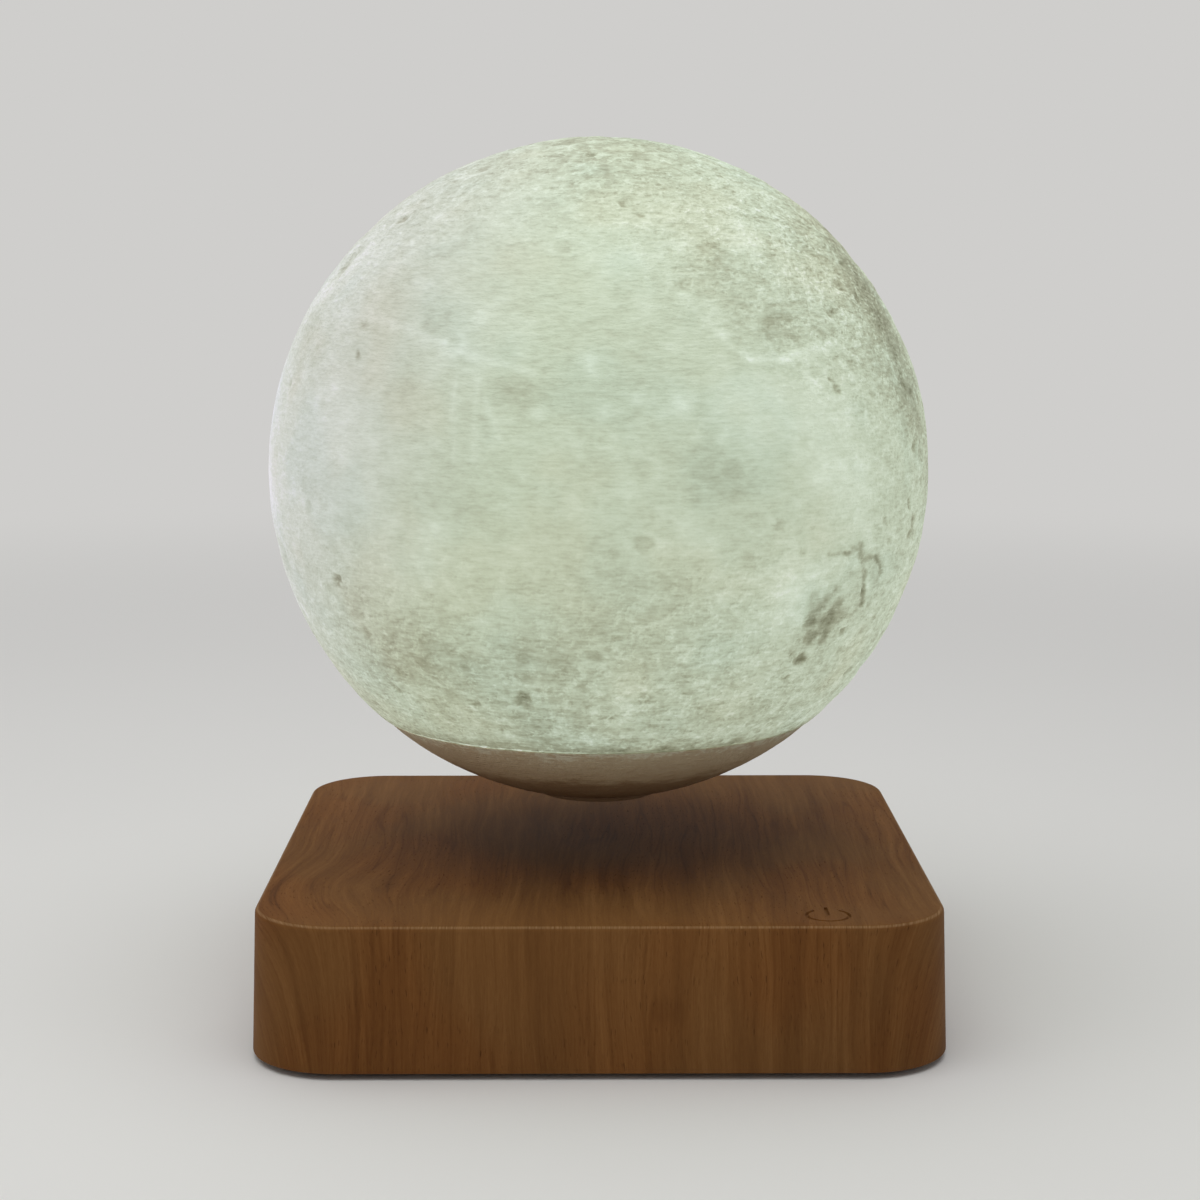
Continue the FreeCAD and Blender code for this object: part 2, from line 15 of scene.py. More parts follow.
import bmesh
import bpy
import numpy as np
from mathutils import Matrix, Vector


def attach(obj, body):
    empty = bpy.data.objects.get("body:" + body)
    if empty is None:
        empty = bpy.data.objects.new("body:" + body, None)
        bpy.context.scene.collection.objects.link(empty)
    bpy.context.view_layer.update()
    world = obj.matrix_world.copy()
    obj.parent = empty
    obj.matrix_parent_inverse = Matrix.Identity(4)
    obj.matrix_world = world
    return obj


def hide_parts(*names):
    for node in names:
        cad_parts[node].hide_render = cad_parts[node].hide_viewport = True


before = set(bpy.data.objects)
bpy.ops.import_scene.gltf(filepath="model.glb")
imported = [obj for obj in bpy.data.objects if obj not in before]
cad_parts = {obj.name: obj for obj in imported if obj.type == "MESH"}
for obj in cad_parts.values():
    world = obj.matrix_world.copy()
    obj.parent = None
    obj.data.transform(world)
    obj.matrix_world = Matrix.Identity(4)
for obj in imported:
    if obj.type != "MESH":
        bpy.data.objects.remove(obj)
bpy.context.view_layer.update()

MM = 0.001
TURN = 2 * math.pi
LOG = logging.getLogger("moon_lamp")

Colour = tuple[float, float, float]
Point = tuple[float, float, float]
Rows = np.ndarray
Piece = bpy.types.Object
Material = bpy.types.Material
Node = bpy.types.Node
Socket = bpy.types.NodeSocket


def srgb(red: int, green: int, blue: int) -> Colour:
    """The linear colour of a screen colour given from 0 to 255."""
    levels = (red / 255, green / 255, blue / 255)
    return tuple(v / 12.92 if v <= 0.04045 else ((v + 0.055) / 1.055) ** 2.4 for v in levels)


# ---------------------------------------------------------------- material nodes


class Signal:
    """One value in a node tree, on which Python arithmetic adds Math nodes."""

    def __init__(self, tree: Tree, socket: Socket) -> None:
        """Keeps the socket that gives the value, and its tree."""
        self.tree, self.socket = tree, socket

    def _math(self, operation: str, first: Signal | float, second: Signal | float = 0.0) -> Signal:
        """A Math node on one or two values."""
        node = self.tree.add("ShaderNodeMath", {"operation": operation}, {0: first, 1: second})
        return Signal(self.tree, node.outputs[0])

    def __add__(self, other: Signal | float) -> Signal:
        """The sum of two values."""
        return self._math("ADD", self, other)

    __radd__ = __add__

    def __sub__(self, other: Signal | float) -> Signal:
        """This value less another."""
        return self._math("SUBTRACT", self, other)

    def __rsub__(self, other: float) -> Signal:
        """A number less this value."""
        return self._math("SUBTRACT", other, self)

    def __mul__(self, other: Signal | float) -> Signal:
        """The product of two values."""
        return self._math("MULTIPLY", self, other)

    __rmul__ = __mul__

    def __truediv__(self, other: Signal | float) -> Signal:
        """This value divided by another."""
        return self._math("DIVIDE", self, other)

    def __pow__(self, other: float) -> Signal:
        """This value to a power."""
        return self._math("POWER", self, other)

    def sine(self) -> Signal:
        """The sine of this value."""
        return self._math("SINE", self)

    def exponential(self) -> Signal:
        """The exponential of this value."""
        return self._math("EXPONENT", self)

    def absolute(self) -> Signal:
        """This value without its sign."""
        return self._math("ABSOLUTE", self)

    def at_most(self, other: Signal | float) -> Signal:
        """The lower of two values."""
        return self._math("MINIMUM", self, other)

    def step(self, low: float, high: float) -> Signal:
        """A smooth rise from 0 at low to 1 at high, or a fall where low is the larger.

        Args:
            low: The value at which the result is 0.
            high: The value at which the result is 1.

        Returns:
            The mask, from 0 to 1.
        """
        if low > high:
            return 1.0 - self.step(high, low)
        sockets = {"Value": self, "From Min": low, "From Max": high}
        node = self.tree.add("ShaderNodeMapRange", {"interpolation_type": "SMOOTHSTEP"}, sockets)
        return Signal(self.tree, node.outputs["Result"])


class Tree:
    """The node tree of a material or of the world."""

    def __init__(self, owner: Material | bpy.types.World) -> None:
        """Empties the tree.

        Args:
            owner: The material or the world.
        """
        owner.use_nodes = True
        self.nodes, self.links = owner.node_tree.nodes, owner.node_tree.links
        self.nodes.clear()

    def add(self, kind: str, settings: dict | None = None, sockets: dict | None = None) -> Node:
        """Adds one node.

        Args:
            kind: The node's type.
            settings: Its own settings, or a ramp's stops as (position, colour) pairs under "stops".
            sockets: Values or links of its inputs, by name or number.

        Returns:
            The node.
        """
        node = self.nodes.new(kind)
        for key, value in (settings or {}).items():
            if key == "stops":
                self._set_stops(node.color_ramp, value)
            else:
                setattr(node, key, value)
        for key, value in (sockets or {}).items():
            named = (socket for socket in node.inputs if socket.name == key and socket.enabled)
            self.feed(node.inputs[key] if isinstance(key, int) else next(named), value)
        return node

    @staticmethod
    def _set_stops(ramp: bpy.types.ColorRamp, stops: list[tuple[float, Colour]]) -> None:
        """Gives a ramp its stops.

        Args:
            ramp: The ramp.
            stops: The position and colour of each.
        """
        while len(ramp.elements) < len(stops):
            ramp.elements.new(0.5)
        for element, (position, colour) in zip(ramp.elements, stops):
            element.position = position
            element.color = (*colour, 1.0)

    def feed(self, socket: Socket, value: object) -> None:
        """Sets or links an input.

        Args:
            socket: The input.
            value: A number, a colour, a signal or an output.
        """
        if isinstance(value, Signal):
            self.links.new(value.socket, socket)
        elif isinstance(value, Socket):
            self.links.new(value, socket)
        elif socket.type == "RGBA" and len(value) == 3:
            socket.default_value = (*value, 1.0)
        else:
            socket.default_value = value

    def value(self, node: Node, output: str | int = 0) -> Signal:
        """One output of a node, ready for arithmetic."""
        return Signal(self, node.outputs[output])

    def seen(self) -> Signal:
        """1 for what the camera sees, straight or by way of a mirror or glass, and 0 for all other light.

        Returns:
            The mask.
        """
        path = self.add("ShaderNodeLightPath")
        kinds = ("Camera", "Glossy", "Transmission")
        straight, mirrored, through = (self.value(path, f"Is {kind} Ray") for kind in kinds)
        return (straight + mirrored + through).at_most(1.0)


class Recipe(Tree):
    """The node tree of one material, with its Principled shader."""

    def __init__(self, name: str) -> None:
        """Makes the material.

        Args:
            name: The material's name.
        """
        self.material = bpy.data.materials.new(name)
        super().__init__(self.material)
        self.shader = self.add("ShaderNodeBsdfPrincipled")
        self.output = self.add("ShaderNodeOutputMaterial", None, {"Surface": self.shader.outputs[0]})

    def place(self) -> Socket:
        """The point on the piece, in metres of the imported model."""
        return self.add("ShaderNodeTexCoord").outputs["Object"]

    def attribute(self, name: str) -> Signal:
        """A number that the piece's points carry."""
        return self.value(self.add("ShaderNodeAttribute", {"attribute_name": name}), "Fac")

    def axes(self, point: Socket) -> tuple[Signal, Signal, Signal]:
        """The three numbers of a point."""
        node = self.add("ShaderNodeSeparateXYZ", sockets={0: point})
        return self.value(node, 0), self.value(node, 1), self.value(node, 2)

    def point(self, x: Signal | float, y: Signal | float, z: Signal | float) -> Socket:
        """A point made of three numbers."""
        return self.add("ShaderNodeCombineXYZ", sockets={0: x, 1: y, 2: z}).outputs[0]

    def scaled(self, point: Socket, scale: Point) -> Socket:
        """A point with each axis multiplied."""
        return self.add("ShaderNodeVectorMath", {"operation": "MULTIPLY"}, {0: point, 1: scale}).outputs[0]

    def noise(self, point: Socket, scale: float = 1.0, detail: float = 2.0, rough: float = 0.6) -> Signal:
        """Soft noise round 0.5, with a scale in cells per unit of the point and a roughness from 0 to 1."""
        sockets = {"Vector": point, "Scale": scale, "Detail": detail, "Roughness": rough}
        return self.value(self.add("ShaderNodeTexNoise", {"noise_dimensions": "3D"}, sockets))

    def cells(self, point: Socket, scale: float, distance: str = "EUCLIDEAN") -> Signal:
        """The distance to the nearest of scattered points.

        Args:
            point: Where it is read.
            scale: Cells per unit of the point.
            distance: How the Voronoi node measures it.

        Returns:
            The distance.
        """
        settings = {"voronoi_dimensions": "3D", "feature": "F1", "distance": distance}
        node = self.add("ShaderNodeTexVoronoi", settings, {"Vector": point, "Scale": scale})
        return self.value(node, "Distance")

    def ramp(self, value: Signal, *stops: tuple[float, Colour]) -> Socket:
        """The colour that a value picks from a row of stops."""
        return self.add("ShaderNodeValToRGB", {"stops": list(stops)}, {0: value}).outputs[0]

    def blend(self, mask: Signal | float, low: object, high: object, how: str = "MIX") -> Socket:
        """Two colours mixed by a mask.

        Args:
            mask: 0 gives low, 1 gives high.
            low: A colour or a colour output.
            high: A colour or a colour output.
            how: The Mix node's blending.

        Returns:
            The mixed colour.
        """
        settings = {"data_type": "RGBA", "blend_type": how, "clamp_factor": True}
        node = self.add("ShaderNodeMix", settings, {"Factor": mask, "A": low, "B": high})
        return next(socket for socket in node.outputs if socket.enabled)

    def tinted(self, mask: Signal | float, colour: object, tint: Colour) -> Socket:
        """A colour multiplied by a tint where the mask is 1."""
        return self.blend(mask, colour, tint, "MULTIPLY")

    def bump(self, height: Signal, depth: float, strength: float) -> Socket:
        """A normal that follows a height from 0 to 1, which stands for a depth in millimetres."""
        sockets = {"Strength": strength, "Distance": depth * MM, "Height": height}
        return self.add("ShaderNodeBump", None, sockets).outputs[0]

    def finish(self, **sockets: object) -> Material:
        """Sets the shader's sockets.

        Args:
            sockets: Values or links by socket name, with _ for a space.

        Returns:
            The material.
        """
        for key, value in sockets.items():
            self.feed(self.shader.inputs[key.replace("_", " ")], value)
        return self.material


# ---------------------------------------------------------------- finishes


@dataclass(frozen=True)
class PrintedGlobeFinish:
    """Translucent white print, lit from behind: pale green grey with mottles, layer dashes and grit."""

    glow: float = 0.645
    day: float = 0.62
    layer: float = 0.75
    seam: float = 69.7
    middle: float = 131.0
    relief: float = 2.4

    def _tone(self, recipe: Recipe, place: Socket, upland: Signal) -> tuple[Signal, Signal]:
        """The print's own pattern, with a painted emboss of highlight and shade along the outlines of its
        lumps.

        Args:
            recipe: The material.
            place: The point on the globe.
            upland: How rough the ground is there.

        Returns:
            What is added to the tone, and the height that the bump follows.
        """
        across, depth, height = recipe.axes(place)
        threads = recipe.noise(recipe.scaled(place, (400, 400, 1250))) - 0.5
        dashes = recipe.noise(recipe.scaled(place, (185, 185, 560))) - 0.5
        grain = recipe.noise(place, 950.0) - 0.5
        lumps = recipe.noise(place, 330.0) - 0.5
        # below and edges: each lump's outline gets a bright line on one side and a dark line on the other, a
        # painted emboss of highlight and shade
        below = recipe.noise(recipe.point(across + 0.25 * MM, depth, height - 0.45 * MM), 330.0) - 0.5
        edges = lumps.step(0.03, 0.07) - below.step(0.03, 0.07)
        mottle = recipe.noise(place, 120.0, 3.0) - 0.5
        pits = recipe.cells(recipe.scaled(place, (1.0, 1.0, 1.5)), 300.0).step(0.26, 0.08)
        flecks = (grain + lumps).step(0.1, 0.24)
        layers = (height * (TURN / (self.layer * MM)) + dashes * 9.0).sine()

        lines = (threads * 0.3 + dashes * 0.26) * (0.72 + upland * 0.75)
        rough = upland * (grain * 0.28 + lumps * 0.2)
        # edges adds the painted emboss highlight and shade.
        broken = upland * (flecks * 0.09 - pits * 0.07 + edges * 0.08)
        tone = lines + rough + broken + layers * 0.01 + mottle * (upland * 0.14 + 0.13)
        return tone, lines + rough * 1.2

    def material(self) -> Material:
        """The finish of the globe above its seam.

        Returns:
            The material.
        """
        recipe = Recipe("printed_globe")
        place = recipe.place()
        pattern, relief = self._tone(recipe, place, recipe.attribute("upland"))
        across, _, height = recipe.axes(place)
        rise = height / MM - self.seam
        # seam_shade: darker towards the seam, where the inner lamp's light falls off; this dims the glow, and
        # in the base colour it is painted shade
        seam_shade = rise.step(4.0, 0.2) * 0.22
        # left_light: the left side of the globe, made paler and more neutral as a painted highlight of the
        # light from the left
        left_light = (across - (height - self.middle * MM) * 0.35 + pattern * 0.02).step(-0.018, -0.075)
        # lip: a thin bright line just above the seam on the left half, a painted highlight on the shell's
        # lower edge
        lip = rise.step(0.75, 0.4) * across.step(0.01, -0.03) * (pattern * 1.5 + 0.36)
        # The tone takes in the painted seam shade, the painted lip highlight and the painted left light.
        colour = recipe.ramp(
            recipe.attribute("tone") + pattern - seam_shade + lip + left_light * 0.05,
            (0.0, srgb(114, 115, 90)),
            (0.28, srgb(158, 163, 138)),
            (0.5, srgb(188, 199, 175)),
            (0.72, srgb(208, 219, 199)),
            (1.0, srgb(232, 238, 231)),
        )
        tint = recipe.noise(place, 34.0, 2.0, 0.5)
        warmer = recipe.tinted(tint.step(0.5, 0.68) * 0.35, colour, srgb(255, 245, 236))
        cooler = recipe.tinted(tint.step(0.48, 0.34) * 0.5, warmer, srgb(247, 252, 255))
        # The left side tinted neutral: painted light from the left.
        shade = recipe.tinted(left_light, cooler, srgb(249, 240, 255))
        return recipe.finish(
            Base_Color=recipe.tinted(1.0, shade, (self.day, self.day, self.day)),
            Emission_Color=shade,
            Emission_Strength=self.glow,
            Roughness=0.62,
            Normal=recipe.bump(relief + 0.5, self.relief, 0.7),
        )


@dataclass(frozen=True)
class PrintedCapFinish:
    """The print below the seam, unlit: a rough greyish zone, and a smoother one below it that grows darker
    and browner towards the foot, painted shade with the brown of light thrown up from the wood.
    """

    seam: float
    foot: float
    layer: float = 0.75
    relief: float = 0.9

    def material(self) -> Material:
        """The finish of the globe below its seam.

        Returns:
            The material.
        """
        recipe = Recipe("printed_cap")
        place = recipe.place()
        across, _, height = recipe.axes(place)
        dashes = recipe.noise(recipe.scaled(place, (150, 150, 900))) - 0.5
        grain = recipe.noise(place, 700.0, 3.0, 0.65) - 0.5
        lumps = recipe.noise(recipe.scaled(place, (300, 300, 460)), 1.0, 3.0) - 0.5
        mottle = recipe.noise(place, 110.0, 3.0) - 0.5
        layers = (height * (TURN / (self.layer * MM)) + mottle * 6.0).sine()
        drop = (self.seam - height / MM) / (self.seam - self.foot)
        rough = drop.step(0.55, 0.2)
        # The ramp darkens and browns the print towards the foot: painted shade, with the brown of light
        # thrown up from the wood.
        colour = recipe.ramp(
            drop + mottle * 0.3 + dashes * 0.22 + lumps * 0.18 + rough * grain * 0.6,
            (0.0, srgb(212, 208, 184)),
            (0.1, srgb(196, 182, 152)),
            (0.42, srgb(184, 165, 133)),
            (0.56, srgb(146, 121, 90)),
            (1.0, srgb(126, 98, 68)),
        )
        relief = dashes * 0.4 + layers * 0.05 + mottle * 0.3 + lumps * 0.7 + grain * (rough * 0.5 + 0.2)
        return recipe.finish(
            # Pinker on the left side: painted light from the left.
            Base_Color=recipe.tinted(across.step(0.01, -0.04) * 0.5, colour, srgb(255, 240, 232)),
            Roughness=0.72,
            Specular_IOR_Level=0.3,
            Normal=recipe.bump(relief + 0.5, self.relief, 0.7),
        )


@dataclass(frozen=True)
class WoodSkinFinish:
    """Wood-grain film: the grain runs front to back over the top and on down the front and back."""

    dark: Colour = srgb(87, 54, 25)
    middle: Colour = srgb(117, 79, 42)
    pale: Colour = srgb(145, 104, 61)
    pore: Colour = srgb(56, 33, 16)
    # edge_highlight: the paler colour of the top edge's line, a painted highlight
    edge_highlight: Colour = srgb(190, 158, 118)
    knot: tuple[float, float] = (-70.0, -47.0)
    knot_size: tuple[float, float] = (20.0, 26.0)

    def material(self) -> Material:
        """The film, read from the piece's own unfolded map in metres.

        Returns:
            The material.
        """
        recipe = Recipe("wood_skin")
        across, along, _ = recipe.axes(recipe.add("ShaderNodeUVMap", {"uv_map": "film"}).outputs[0])
        across, along = across / MM, along / MM
        wander = recipe.noise(recipe.point(across * 0.02, along * 0.006, 0.0), 1.0, 2.0, 0.5) - 0.5
        wobble = recipe.noise(recipe.point(across * 0.12, along * 0.035, 3.0), 1.0, 1.0, 0.5) - 0.5
        (knot_x, knot_y), (width, length) = self.knot, self.knot_size
        from_knot = ((across - knot_x) / width) ** 2.0 + ((along - knot_y) / length) ** 2.0
        swirl = (0.0 - from_knot).exponential()
        line = across + wander * 16.0 + wobble * 2.6 + swirl * 9.0

        bands = recipe.noise(recipe.point(line * 0.11, along * 0.005, 0.0), 1.0, 2.0, 0.55) - 0.5
        streaks = recipe.noise(recipe.point(line * 0.5, along * 0.016, 5.0)) - 0.5
        fibres = recipe.noise(recipe.point(line * 2.1, along * 0.1, 9.0)) - 0.5
        threads = recipe.noise(recipe.point(line * 4.2, along * 0.5, 11.0)) - 0.5
        dashes = recipe.noise(recipe.point(line * 2.6, along * 0.34, 13.0), 1.0, 1.0, 0.5)
        patch = recipe.noise(recipe.point(across * 0.03, along * 0.02, 21.0), 1.0, 1.0, 0.5)
        pores = dashes.step(0.64, 0.74) * patch.step(0.3, 0.6)
        vein = recipe.noise(recipe.point(line * 0.24, along * 0.01, 31.0), 1.0, 1.0, 0.5) - 0.5
        veins = vein.absolute().step(0.035, 0.004) * patch.step(0.35, 0.55)

        calm = 1.0 - along.absolute().step(60.0, 68.0) * 0.28
        level = (bands * 0.56 + streaks * 0.5 + fibres * 0.36 + threads * 0.26 - veins * 0.13) * calm + 0.5
        wood = recipe.ramp(level, (0.16, self.dark), (0.5, self.middle), (0.86, self.pale))
        redder = recipe.tinted(patch.step(0.4, 0.62) * 0.5, wood, srgb(255, 232, 208))
        greyer = recipe.tinted(across.step(10.0, 70.0) * 0.3, redder, srgb(232, 240, 255))
        porous = recipe.blend(pores * 0.55, greyer, self.pore)
        return recipe.finish(
            # The edge attribute marks the top edge's line, painted paler as a highlight.
            Base_Color=recipe.blend(recipe.attribute("edge") * (0.2 + fibres), porous, self.edge_highlight),
            Roughness=0.64 + fibres * 0.1 + pores * 0.15,
            Specular_IOR_Level=0.06,
            Normal=recipe.bump(fibres * 0.35 + threads * 0.15 - pores * 0.6 + 0.5, 0.08, 0.5),
        )


@dataclass(frozen=True)
class MouldedFinish:
    """Moulded plastic or rubber with a fine spark-eroded grain."""

    name: str
    colour: Colour
    roughness: float
    grain: float = 0.05
    cells_per_metre: float = 2600.0

    def material(self) -> Material:
        """The moulding.

        Returns:
            The material.
        """
        recipe = Recipe(self.name)
        place = recipe.place()
        grain = recipe.noise(place, self.cells_per_metre)
        cloud = recipe.noise(place, 60.0, 3.0)
        lighter = tuple(min(1.0, c * 1.35 + 0.004) for c in self.colour)
        return recipe.finish(
            Base_Color=recipe.blend(cloud * 0.5 + grain * 0.4, self.colour, lighter),
            Roughness=self.roughness + (cloud - 0.5) * 0.18,
            Normal=recipe.bump(grain, self.grain, 0.5),
        )


class Lay(Enum):
    """Which way the fine lines of a metal run, as cells per metre on each axis."""

    ALONG_X = (30.0, 2400.0, 2400.0)
    CAST = (700.0, 700.0, 700.0)


@dataclass(frozen=True)
class MetalFinish:
    """Plated or drawn metal with fine lines, cloudy plating and duller spots."""

    name: str
    colour: Colour
    roughness: float
    lay: Lay
    spots: float = 0.12

    def material(self) -> Material:
        """The metal.

        Returns:
            The material.
        """
        recipe = Recipe(self.name)
        place = recipe.place()
        lines = recipe.noise(recipe.scaled(place, self.lay.value))
        cloud = recipe.noise(place, 90.0, 3.0)
        duller = tuple(c * 0.72 for c in self.colour)
        return recipe.finish(
            Base_Color=recipe.blend(cloud.step(0.4, 0.75) * 0.7 + lines * 0.2, self.colour, duller),
            Metallic=1.0,
            Roughness=self.roughness + (lines - 0.5) * 0.2 + cloud.step(0.45, 0.7) * self.spots,
            Normal=recipe.bump(lines, 0.02, 0.4),
        )


class Winding(Enum):
    """How the turns of a coil lie."""

    FLAT = "rings round the lamp's axis"
    STACKED = "turns one above the other"


@dataclass(frozen=True)
class CopperFinish:
    """Enamelled wire, with a groove between the turns."""

    name: str
    winding: Winding
    pitch: float

    def material(self) -> Material:
        """The wound copper.

        Returns:
            The material.
        """
        recipe = Recipe(self.name)
        place = recipe.place()
        across, along, height = recipe.axes(place)
        run = (across * across + along * along) ** 0.5 if self.winding is Winding.FLAT else height
        groove = (run * (TURN / (self.pitch * MM))).sine().absolute()
        wear = recipe.noise(place, 260.0, 3.0)
        copper = recipe.blend(wear, srgb(196, 98, 48), srgb(158, 68, 32))
        return recipe.finish(
            # Darker in the grooves between the turns: painted shade.
            Base_Color=recipe.blend(groove.step(0.0, 0.45), srgb(84, 34, 18), copper),
            Metallic=0.85,
            Roughness=0.26 + wear * 0.16,
            Normal=recipe.bump(groove, 0.12, 0.7),
        )


@dataclass(frozen=True)
class BoardFinish:
    """A circuit board: solder mask over tracks, with tinned pads."""

    name: str
    mask: Colour
    track: Colour
    pad: Colour = srgb(196, 192, 182)

    def material(self) -> Material:
        """The board.

        Returns:
            The material.
        """
        recipe = Recipe(self.name)
        place = recipe.place()
        flat = recipe.scaled(place, (1.0, 1.0, 0.0))
        track = (recipe.cells(flat, 120.0, "CHEBYCHEV") * 26.0).sine().step(0.35, 0.6)
        dots = recipe.cells(flat, 210.0).step(0.2, 0.14)
        cloud = recipe.noise(place, 70.0, 2.0, 0.5)
        tracks = recipe.blend(track * 0.8, recipe.blend(cloud * 0.4, self.mask, self.track), self.track)
        return recipe.finish(
            Base_Color=recipe.blend(dots, tracks, self.pad),
            Metallic=dots * 0.8,
            Roughness=0.36 + cloud * 0.1,
            Normal=recipe.bump(track * 0.6 + dots * 0.4, 0.05, 0.6),
        )


@dataclass(frozen=True)
class RibbonFinish:
    """A ribbon of leads that run side by side."""

    name: str = "ribbon_white"
    pitch: float = 1.1

    def material(self) -> Material:
        """The ribbon.

        Returns:
            The material.
        """
        recipe = Recipe(self.name)
        place = recipe.place()
        across, along, _ = recipe.axes(place)
        wires = ((across + along) * (TURN / (self.pitch * MM))).sine().absolute()
        # Darker grey in the grooves between the leads: painted shade.
        clean = recipe.blend(wires.step(0.0, 0.5), srgb(168, 166, 160), srgb(226, 224, 218))
        colour = recipe.blend(recipe.noise(place, 140.0, 3.0) * 0.25, clean, srgb(190, 184, 170))
        return recipe.finish(Base_Color=colour, Roughness=0.5, Normal=recipe.bump(wires, 0.2, 0.6))


@dataclass(frozen=True)
class PhosphorFinish:
    """A lamp's yellow phosphor in its white cup."""

    name: str = "lamp_phosphor"
    glow: float = 0.8

    def material(self) -> Material:
        """The lit phosphor.

        Returns:
            The material.
        """
        recipe = Recipe(self.name)
        speck = recipe.noise(recipe.place(), 2400.0)
        colour = recipe.blend(speck, srgb(238, 214, 120), srgb(250, 236, 176))
        return recipe.finish(
            Base_Color=colour,
            Emission_Color=colour,
            Emission_Strength=self.glow,
            Roughness=0.4,
            Normal=recipe.bump(speck, 0.03, 0.4),
        )


# ---------------------------------------------------------------- modelling by operators


class Element(Enum):
    """What is picked on a mesh, by the name of its list in a bmesh."""

    FACE = "faces"
    EDGE = "edges"


def wake(piece: Piece) -> None:
    """Makes one piece the only one selected.

    Args:
        piece: The piece.
    """
    bpy.ops.object.select_all(action="DESELECT")
    piece.select_set(True)
    bpy.context.view_layer.objects.active = piece


def start(add: Callable[..., set], name: str, scale: Point = (1.0, 1.0, 1.0), **settings: object) -> Piece:
    """Adds a primitive with nothing else selected, and puts its place in its mesh.

    Args:
        add: The operator that adds it.
        name: The piece's name.
        scale: Factors for its three sides.
        settings: What the operator is given, in metres.

    Returns:
        The piece.
    """
    bpy.ops.object.select_all(action="DESELECT")
    add(**settings)
    piece = bpy.context.active_object
    piece.name = piece.data.name = name
    piece.scale = scale
    bpy.ops.object.transform_apply(location=True, rotation=True, scale=True)
    return piece


@contextmanager
def editing(piece: Piece) -> Iterator[None]:
    """Edit mode on one piece, with all of it selected.

    Args:
        piece: The piece.

    Returns:
        The span of the edit, as a context.
    """
    wake(piece)
    bpy.ops.object.mode_set(mode="EDIT")
    bpy.ops.mesh.select_all(action="SELECT")
    yield
    bpy.ops.object.mode_set(mode="OBJECT")


def pick(piece: Piece, element: Element, wanted: Callable[[Vector, Vector], bool]) -> None:
    """Selects the faces whose middle and normal pass a test, or the edges whose two ends do.

    Args:
        piece: The piece in edit mode.
        element: Faces or edges.
        wanted: The test.
    """
    bpy.ops.mesh.select_mode(type=element.name)
    bpy.ops.mesh.select_all(action="DESELECT")
    mesh = bmesh.from_edit_mesh(piece.data)
    for item in getattr(mesh, element.value):
        if element is Element.FACE:
            item.select_set(wanted(item.calc_center_median(), item.normal))
        else:
            item.select_set(wanted(item.verts[0].co, item.verts[1].co))
    bmesh.update_edit_mesh(piece.data)


def pick_underside(piece: Piece) -> None:
    """Selects the level face that looks down from the piece's middle."""
    place = Vector([sum(corner[axis] for corner in piece.bound_box) / 8 for axis in range(2)])
    pick(piece, Element.FACE, lambda middle, normal: normal.z < -0.99 and (middle.xy - place).length < MM)


def ease(offset: float, segments: int) -> None:
    """Rounds the selection's edges by an offset in millimetres."""
    bpy.ops.mesh.bevel(offset=offset * MM, segments=segments, affect="EDGES")


def pull(offset: Point) -> None:
    """Extrudes the selection by an offset in millimetres."""
    bpy.ops.mesh.extrude_region_move(TRANSFORM_OT_translate={"value": tuple(v * MM for v in offset)})


def stretch(factors: Point, centre: Point) -> None:
    """Scales the selection about a centre in millimetres."""
    bpy.ops.transform.resize(value=factors, center_override=tuple(v * MM for v in centre))


def carve(piece: Piece, cutter: Piece) -> None:
    """Cuts one piece with another, which goes.

    Args:
        piece: What is cut.
        cutter: What cuts it.
    """
    wake(piece)
    cut = piece.modifiers.new("cut", "BOOLEAN")
    cut.operation, cut.solver, cut.object = "DIFFERENCE", "EXACT", cutter
    bpy.ops.object.modifier_apply(modifier=cut.name)
    bpy.data.objects.remove(cutter)


def smooth(piece: Piece, degrees: float) -> None:
    """Shades a piece smooth except over sharper edges."""
    wake(piece)
    bpy.ops.object.shade_smooth_by_angle(angle=math.radians(degrees))


def dress(piece: Piece, material: Material) -> None:
    """Gives a piece one material."""
    piece.data.materials.clear()
    piece.data.materials.append(material)


def coordinates(mesh: bpy.types.Mesh) -> Rows:
    """The points of a mesh in millimetres.

    Args:
        mesh: The mesh.

    Returns:
        One point a row.
    """
    flat = np.empty(len(mesh.vertices) * 3)
    mesh.vertices.foreach_get("co", flat)
    return flat.reshape(-1, 3) / MM


def mark_points(mesh: bpy.types.Mesh, name: str, values: Rows) -> None:
    """Stores a number for each point of a mesh, for its material to read."""
    mesh.attributes.new(name, "FLOAT", "POINT").data.foreach_set("value", values.astype(np.float32))


# ---------------------------------------------------------------- the globe's relief


@dataclass(frozen=True)
class Crater:
    """A round hollow: its place in degrees on the globe, radius and depth in mm, and how dark it looks."""

    longitude: float
    latitude: float
    radius: float
    depth: float
    shade: float = 0.0


@dataclass(frozen=True)
class Patch:
    """A soft-edged patch that is darker or paler than the print round it, and may be sunk by some mm."""

    longitude: float
    latitude: float
    radius: float
    tone: float
    sunk: float = 0.0


@dataclass(frozen=True)
class Ray:
    """A thin pale streak, or a dark sunk crack, between two places."""

    start: tuple[float, float]
    end: tuple[float, float]
    width: float
    tone: float
    sunk: float = 0.0


